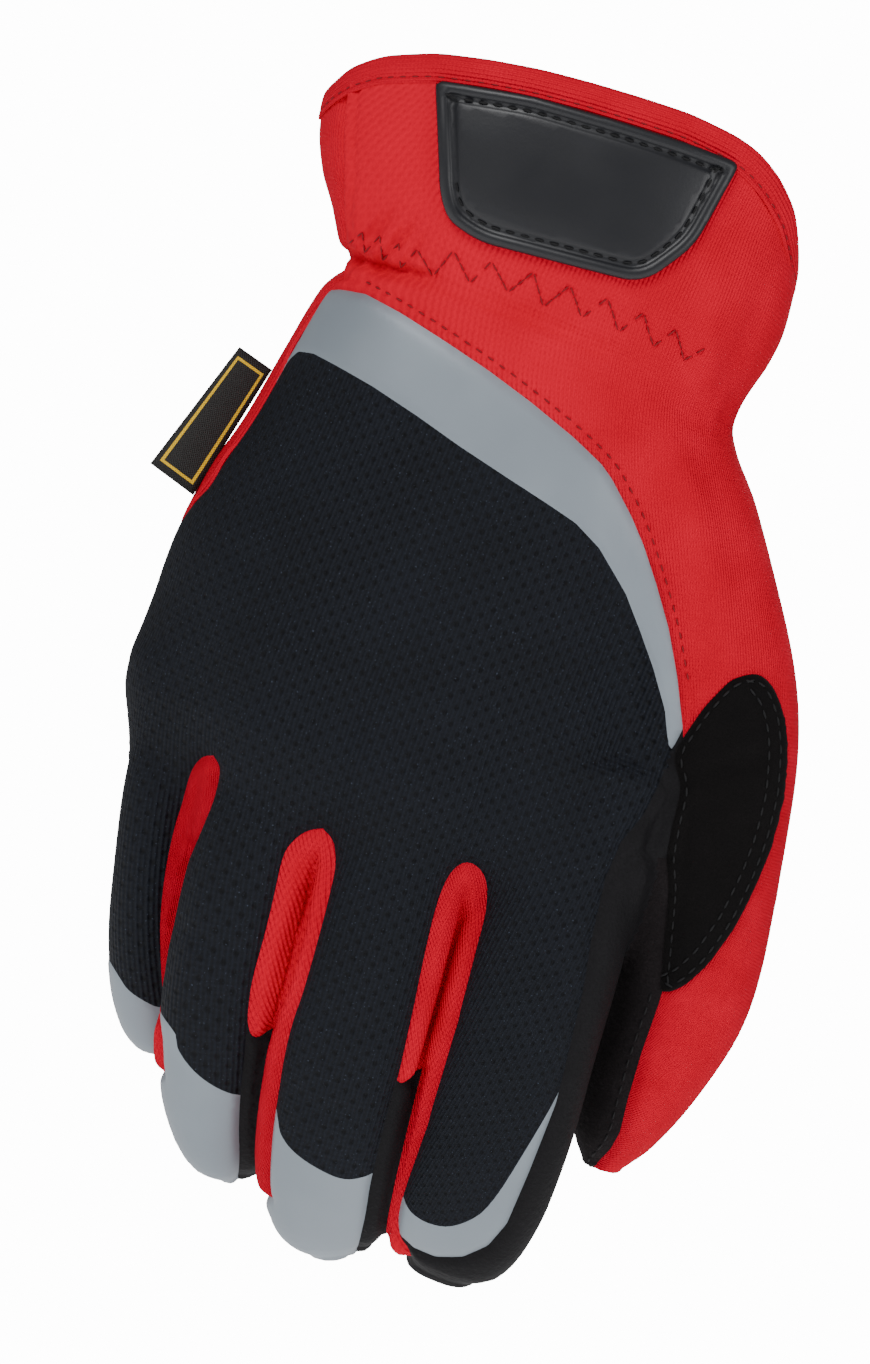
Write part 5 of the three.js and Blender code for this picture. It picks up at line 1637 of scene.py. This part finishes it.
def seamChain(first, second, keep):
    # the longest run of cloth edges between two groups of panels, as vertex numbers in order
    key = np.sort(faces[:, [[0, 1], [1, 2], [2, 0]]].reshape(-1, 2), axis=1)
    owner = np.repeat(np.arange(len(faces)), 3)
    order = np.lexsort((key[:, 1], key[:, 0]))
    key, owner = key[order], owner[order]
    same = np.all(key[1:] == key[:-1], axis=1)
    a, b = label[owner[:-1][same]], label[owner[1:][same]]
    edge = key[:-1][same]
    chosen = (np.isin(a, first) & np.isin(b, second)) | (np.isin(b, first) & np.isin(a, second))
    chosen &= keep(points[edge].mean(1))
    beside = {}
    for u, v in edge[chosen].tolist():
        beside.setdefault(u, []).append(v)
        beside.setdefault(v, []).append(u)
    best, seen = [], set()
    for start in sorted(beside, key=lambda v: len(beside[v])):
        if start in seen:
            continue
        run = [start]
        seen.add(start)
        while True:
            ahead = [v for v in beside[run[-1]] if v not in seen]
            if not ahead:
                break
            run.append(ahead[0])
            seen.add(ahead[0])
        if len(run) > len(best):
            best = run
    return best


def seamPath(first, second, keep, inset, lift=0.1, step=0.8):
    # a smooth line beside a seam, inset to the left of its run, with its normals
    line = points[seamChain(first, second, keep)]
    length = runLength(line)
    line = evened(atLengths(line, length, np.arange(0, length[-1], step)), 12)
    normal = unit(fieldSlope(line))
    side = np.cross(normal, unit(np.gradient(line, axis=0)))
    hits = [clothTree.find_nearest(Vector(p)) for p in line + side * inset]
    out, normal = [evened(np.array([np.array(hit[k]) for hit in hits]), 8) for k in (0, 1)]
    normal = unit(normal)
    return out + lift * normal, normal


knitNodes = ["gauntlet_back", "gauntlet_palm"]
palmSewing = {
    "palmTop": (knitNodes, ["palm_panel"], lambda c: (c[:, 1] > 4) & (c[:, 2] > -50), 2.0),
    "thumbSide": (knitNodes, ["palm_panel", "thumb_palm"],
                  lambda c: (c[:, 1] > 2) & (c[:, 2] < -42) & (c[:, 0] > 20), 2.0),
    "gusset": (["gauntlet_palm"], ["palm_panel"], lambda c: (c[:, 0] < -10) & (c[:, 2] < -42), 1.8),
    "outerSide": (["back_panel"], ["palm_panel"], lambda c: (c[:, 0] < -20) & (c[:, 2] > -175), 1.6),
}


def makePalmSewing():
    dark = []
    for first, second, keep, inset in palmSewing.values():
        for side in (inset, -inset):
            path, normal = seamPath(first, second, keep, side)
            middle = path[len(path) // 2]
            near = np.argmin(np.linalg.norm(points[faces].mean(1) - middle, axis=1))
            if label[near] in second:
                dark.append((path, normal))
    sew("palm_sewing", dark, *stitching["palm"], "darkThread", "leather")


makePalmSewing()
print("palm sewing done")

# tuck: how deep the cord's ends sink into the seam, over these shares of its length
sidePiping = {"end": -90.0, "radius": 0.9, "proud": 0.15, "tuck": 2.2, "tuckStart": 0.06, "tuckEnd": 0.14}


def makePiping():
    # a cord covered in knit, caught in the seam of the glove's outer side
    size = sidePiping
    path, normal = seamPath(["gauntlet_palm"], ["reflective_yoke", "back_panel"],
                            lambda c: (c[:, 0] < 0) & (c[:, 2] > size["end"]) & (c[:, 2] < -36), 0.0)
    place = np.linspace(0, 1, len(path))[:, None]
    atStart = np.clip(1 - place / size["tuckStart"], 0, 1)
    atEnd = np.clip((place - 1 + size["tuckEnd"]) / size["tuckEnd"], 0, 1)
    path -= normal * size["tuck"] * (atStart ** 2 + atEnd ** 2)
    turn = np.linspace(0, 2 * math.pi, 12, endpoint=False)
    ring = [(size["radius"] * math.cos(a) + size["proud"], size["radius"] * math.sin(a)) for a in turn]
    return sweep("side_piping", path, normal, ring)


piping = makePiping()
finishPiece(piping, None, "binding")
print("piping made")


# Floor, light and camera
studio = {"floorZ": -340.0, "floorX": 18, "floorRadius": 780.0, "floorSides": 96, "cameraAway": 1630.0,
          "lookX": 11.0, "lookZ": -105.3, "roll": 20.0, "sensor": 36.0,
          # the height of the picture, measured this far in front of the glove's middle
          "frameHeight": 263.25, "frameAhead": 30,
          "fill": 0.3, "backdrop": 14.0, "lampTarget": (0.018, 0, -0.1),
          # name, place and width in metres, watts
          "lamps": [("keyLight", (-0.55, -1.1, 0.75), 0.6, 16), ("sideLight", (1.0, -0.7, 0.1), 0.6, 6.5),
                    ("backLight", (0.1, 1.2, 0.5), 0.8, 9)]}


def makeStudio():
    size = studio
    mesh = bpy.data.meshes.new("floor")
    sides = size["floorSides"]
    turn = np.linspace(0, 2 * math.pi, sides, endpoint=False)
    ring = np.stack([size["floorX"] + size["floorRadius"] * np.cos(turn), size["floorRadius"] * np.sin(turn),
                     np.full(sides, size["floorZ"])], 1)
    mesh.from_pydata((ring / 1000).tolist(), [], [tuple(range(sides))])
    mesh.materials.append(finishes["stage"])
    addObject("floor", mesh)
    world = bpy.data.worlds.new("studio")
    bpy.context.scene.world = world
    world.use_nodes = True
    tree = world.node_tree
    soft = tree.nodes["Background"]
    soft.inputs[0].default_value, soft.inputs[1].default_value = (1, 1, 1, 1), size["fill"]
    seen = addNode(tree, "ShaderNodeBackground", {"Strength": size["backdrop"]})
    seen.inputs[0].default_value = (1, 1, 1, 1)
    path = addNode(tree, "ShaderNodeLightPath")
    both = addNode(tree, "ShaderNodeMixShader", None, _0=path.outputs[0], _1=soft.outputs[0], _2=seen.outputs[0])
    tree.links.new(both.outputs[0], tree.nodes["World Output"].inputs[0])
    target = Vector(size["lampTarget"])
    for name, place, wide, power in size["lamps"]:
        light = bpy.data.lights.new(name, "AREA")
        light.energy, light.size = power, wide
        lamp = addObject(name, light)
        lamp.location = place
        lamp.rotation_euler = (target - Vector(place)).to_track_quat("-Z", "Y").to_euler()
    data = bpy.data.cameras.new("camera")
    data.sensor_fit, data.sensor_height = "VERTICAL", size["sensor"]
    data.lens = size["sensor"] * (size["cameraAway"] - size["frameAhead"]) / size["frameHeight"]
    data.clip_end = 20
    camera = addObject("camera", data)
    roll = math.radians(size["roll"])
    turn = Matrix(((math.cos(roll), -math.sin(roll), 0), (0, 0, -1), (math.sin(roll), math.cos(roll), 0)))
    camera.matrix_world = Matrix.Translation((size["lookX"] / 1000, -size["cameraAway"] / 1000,
                                              size["lookZ"] / 1000)) @ turn.to_4x4()
    bpy.context.scene.camera = camera


makeStudio()
print("studio set")
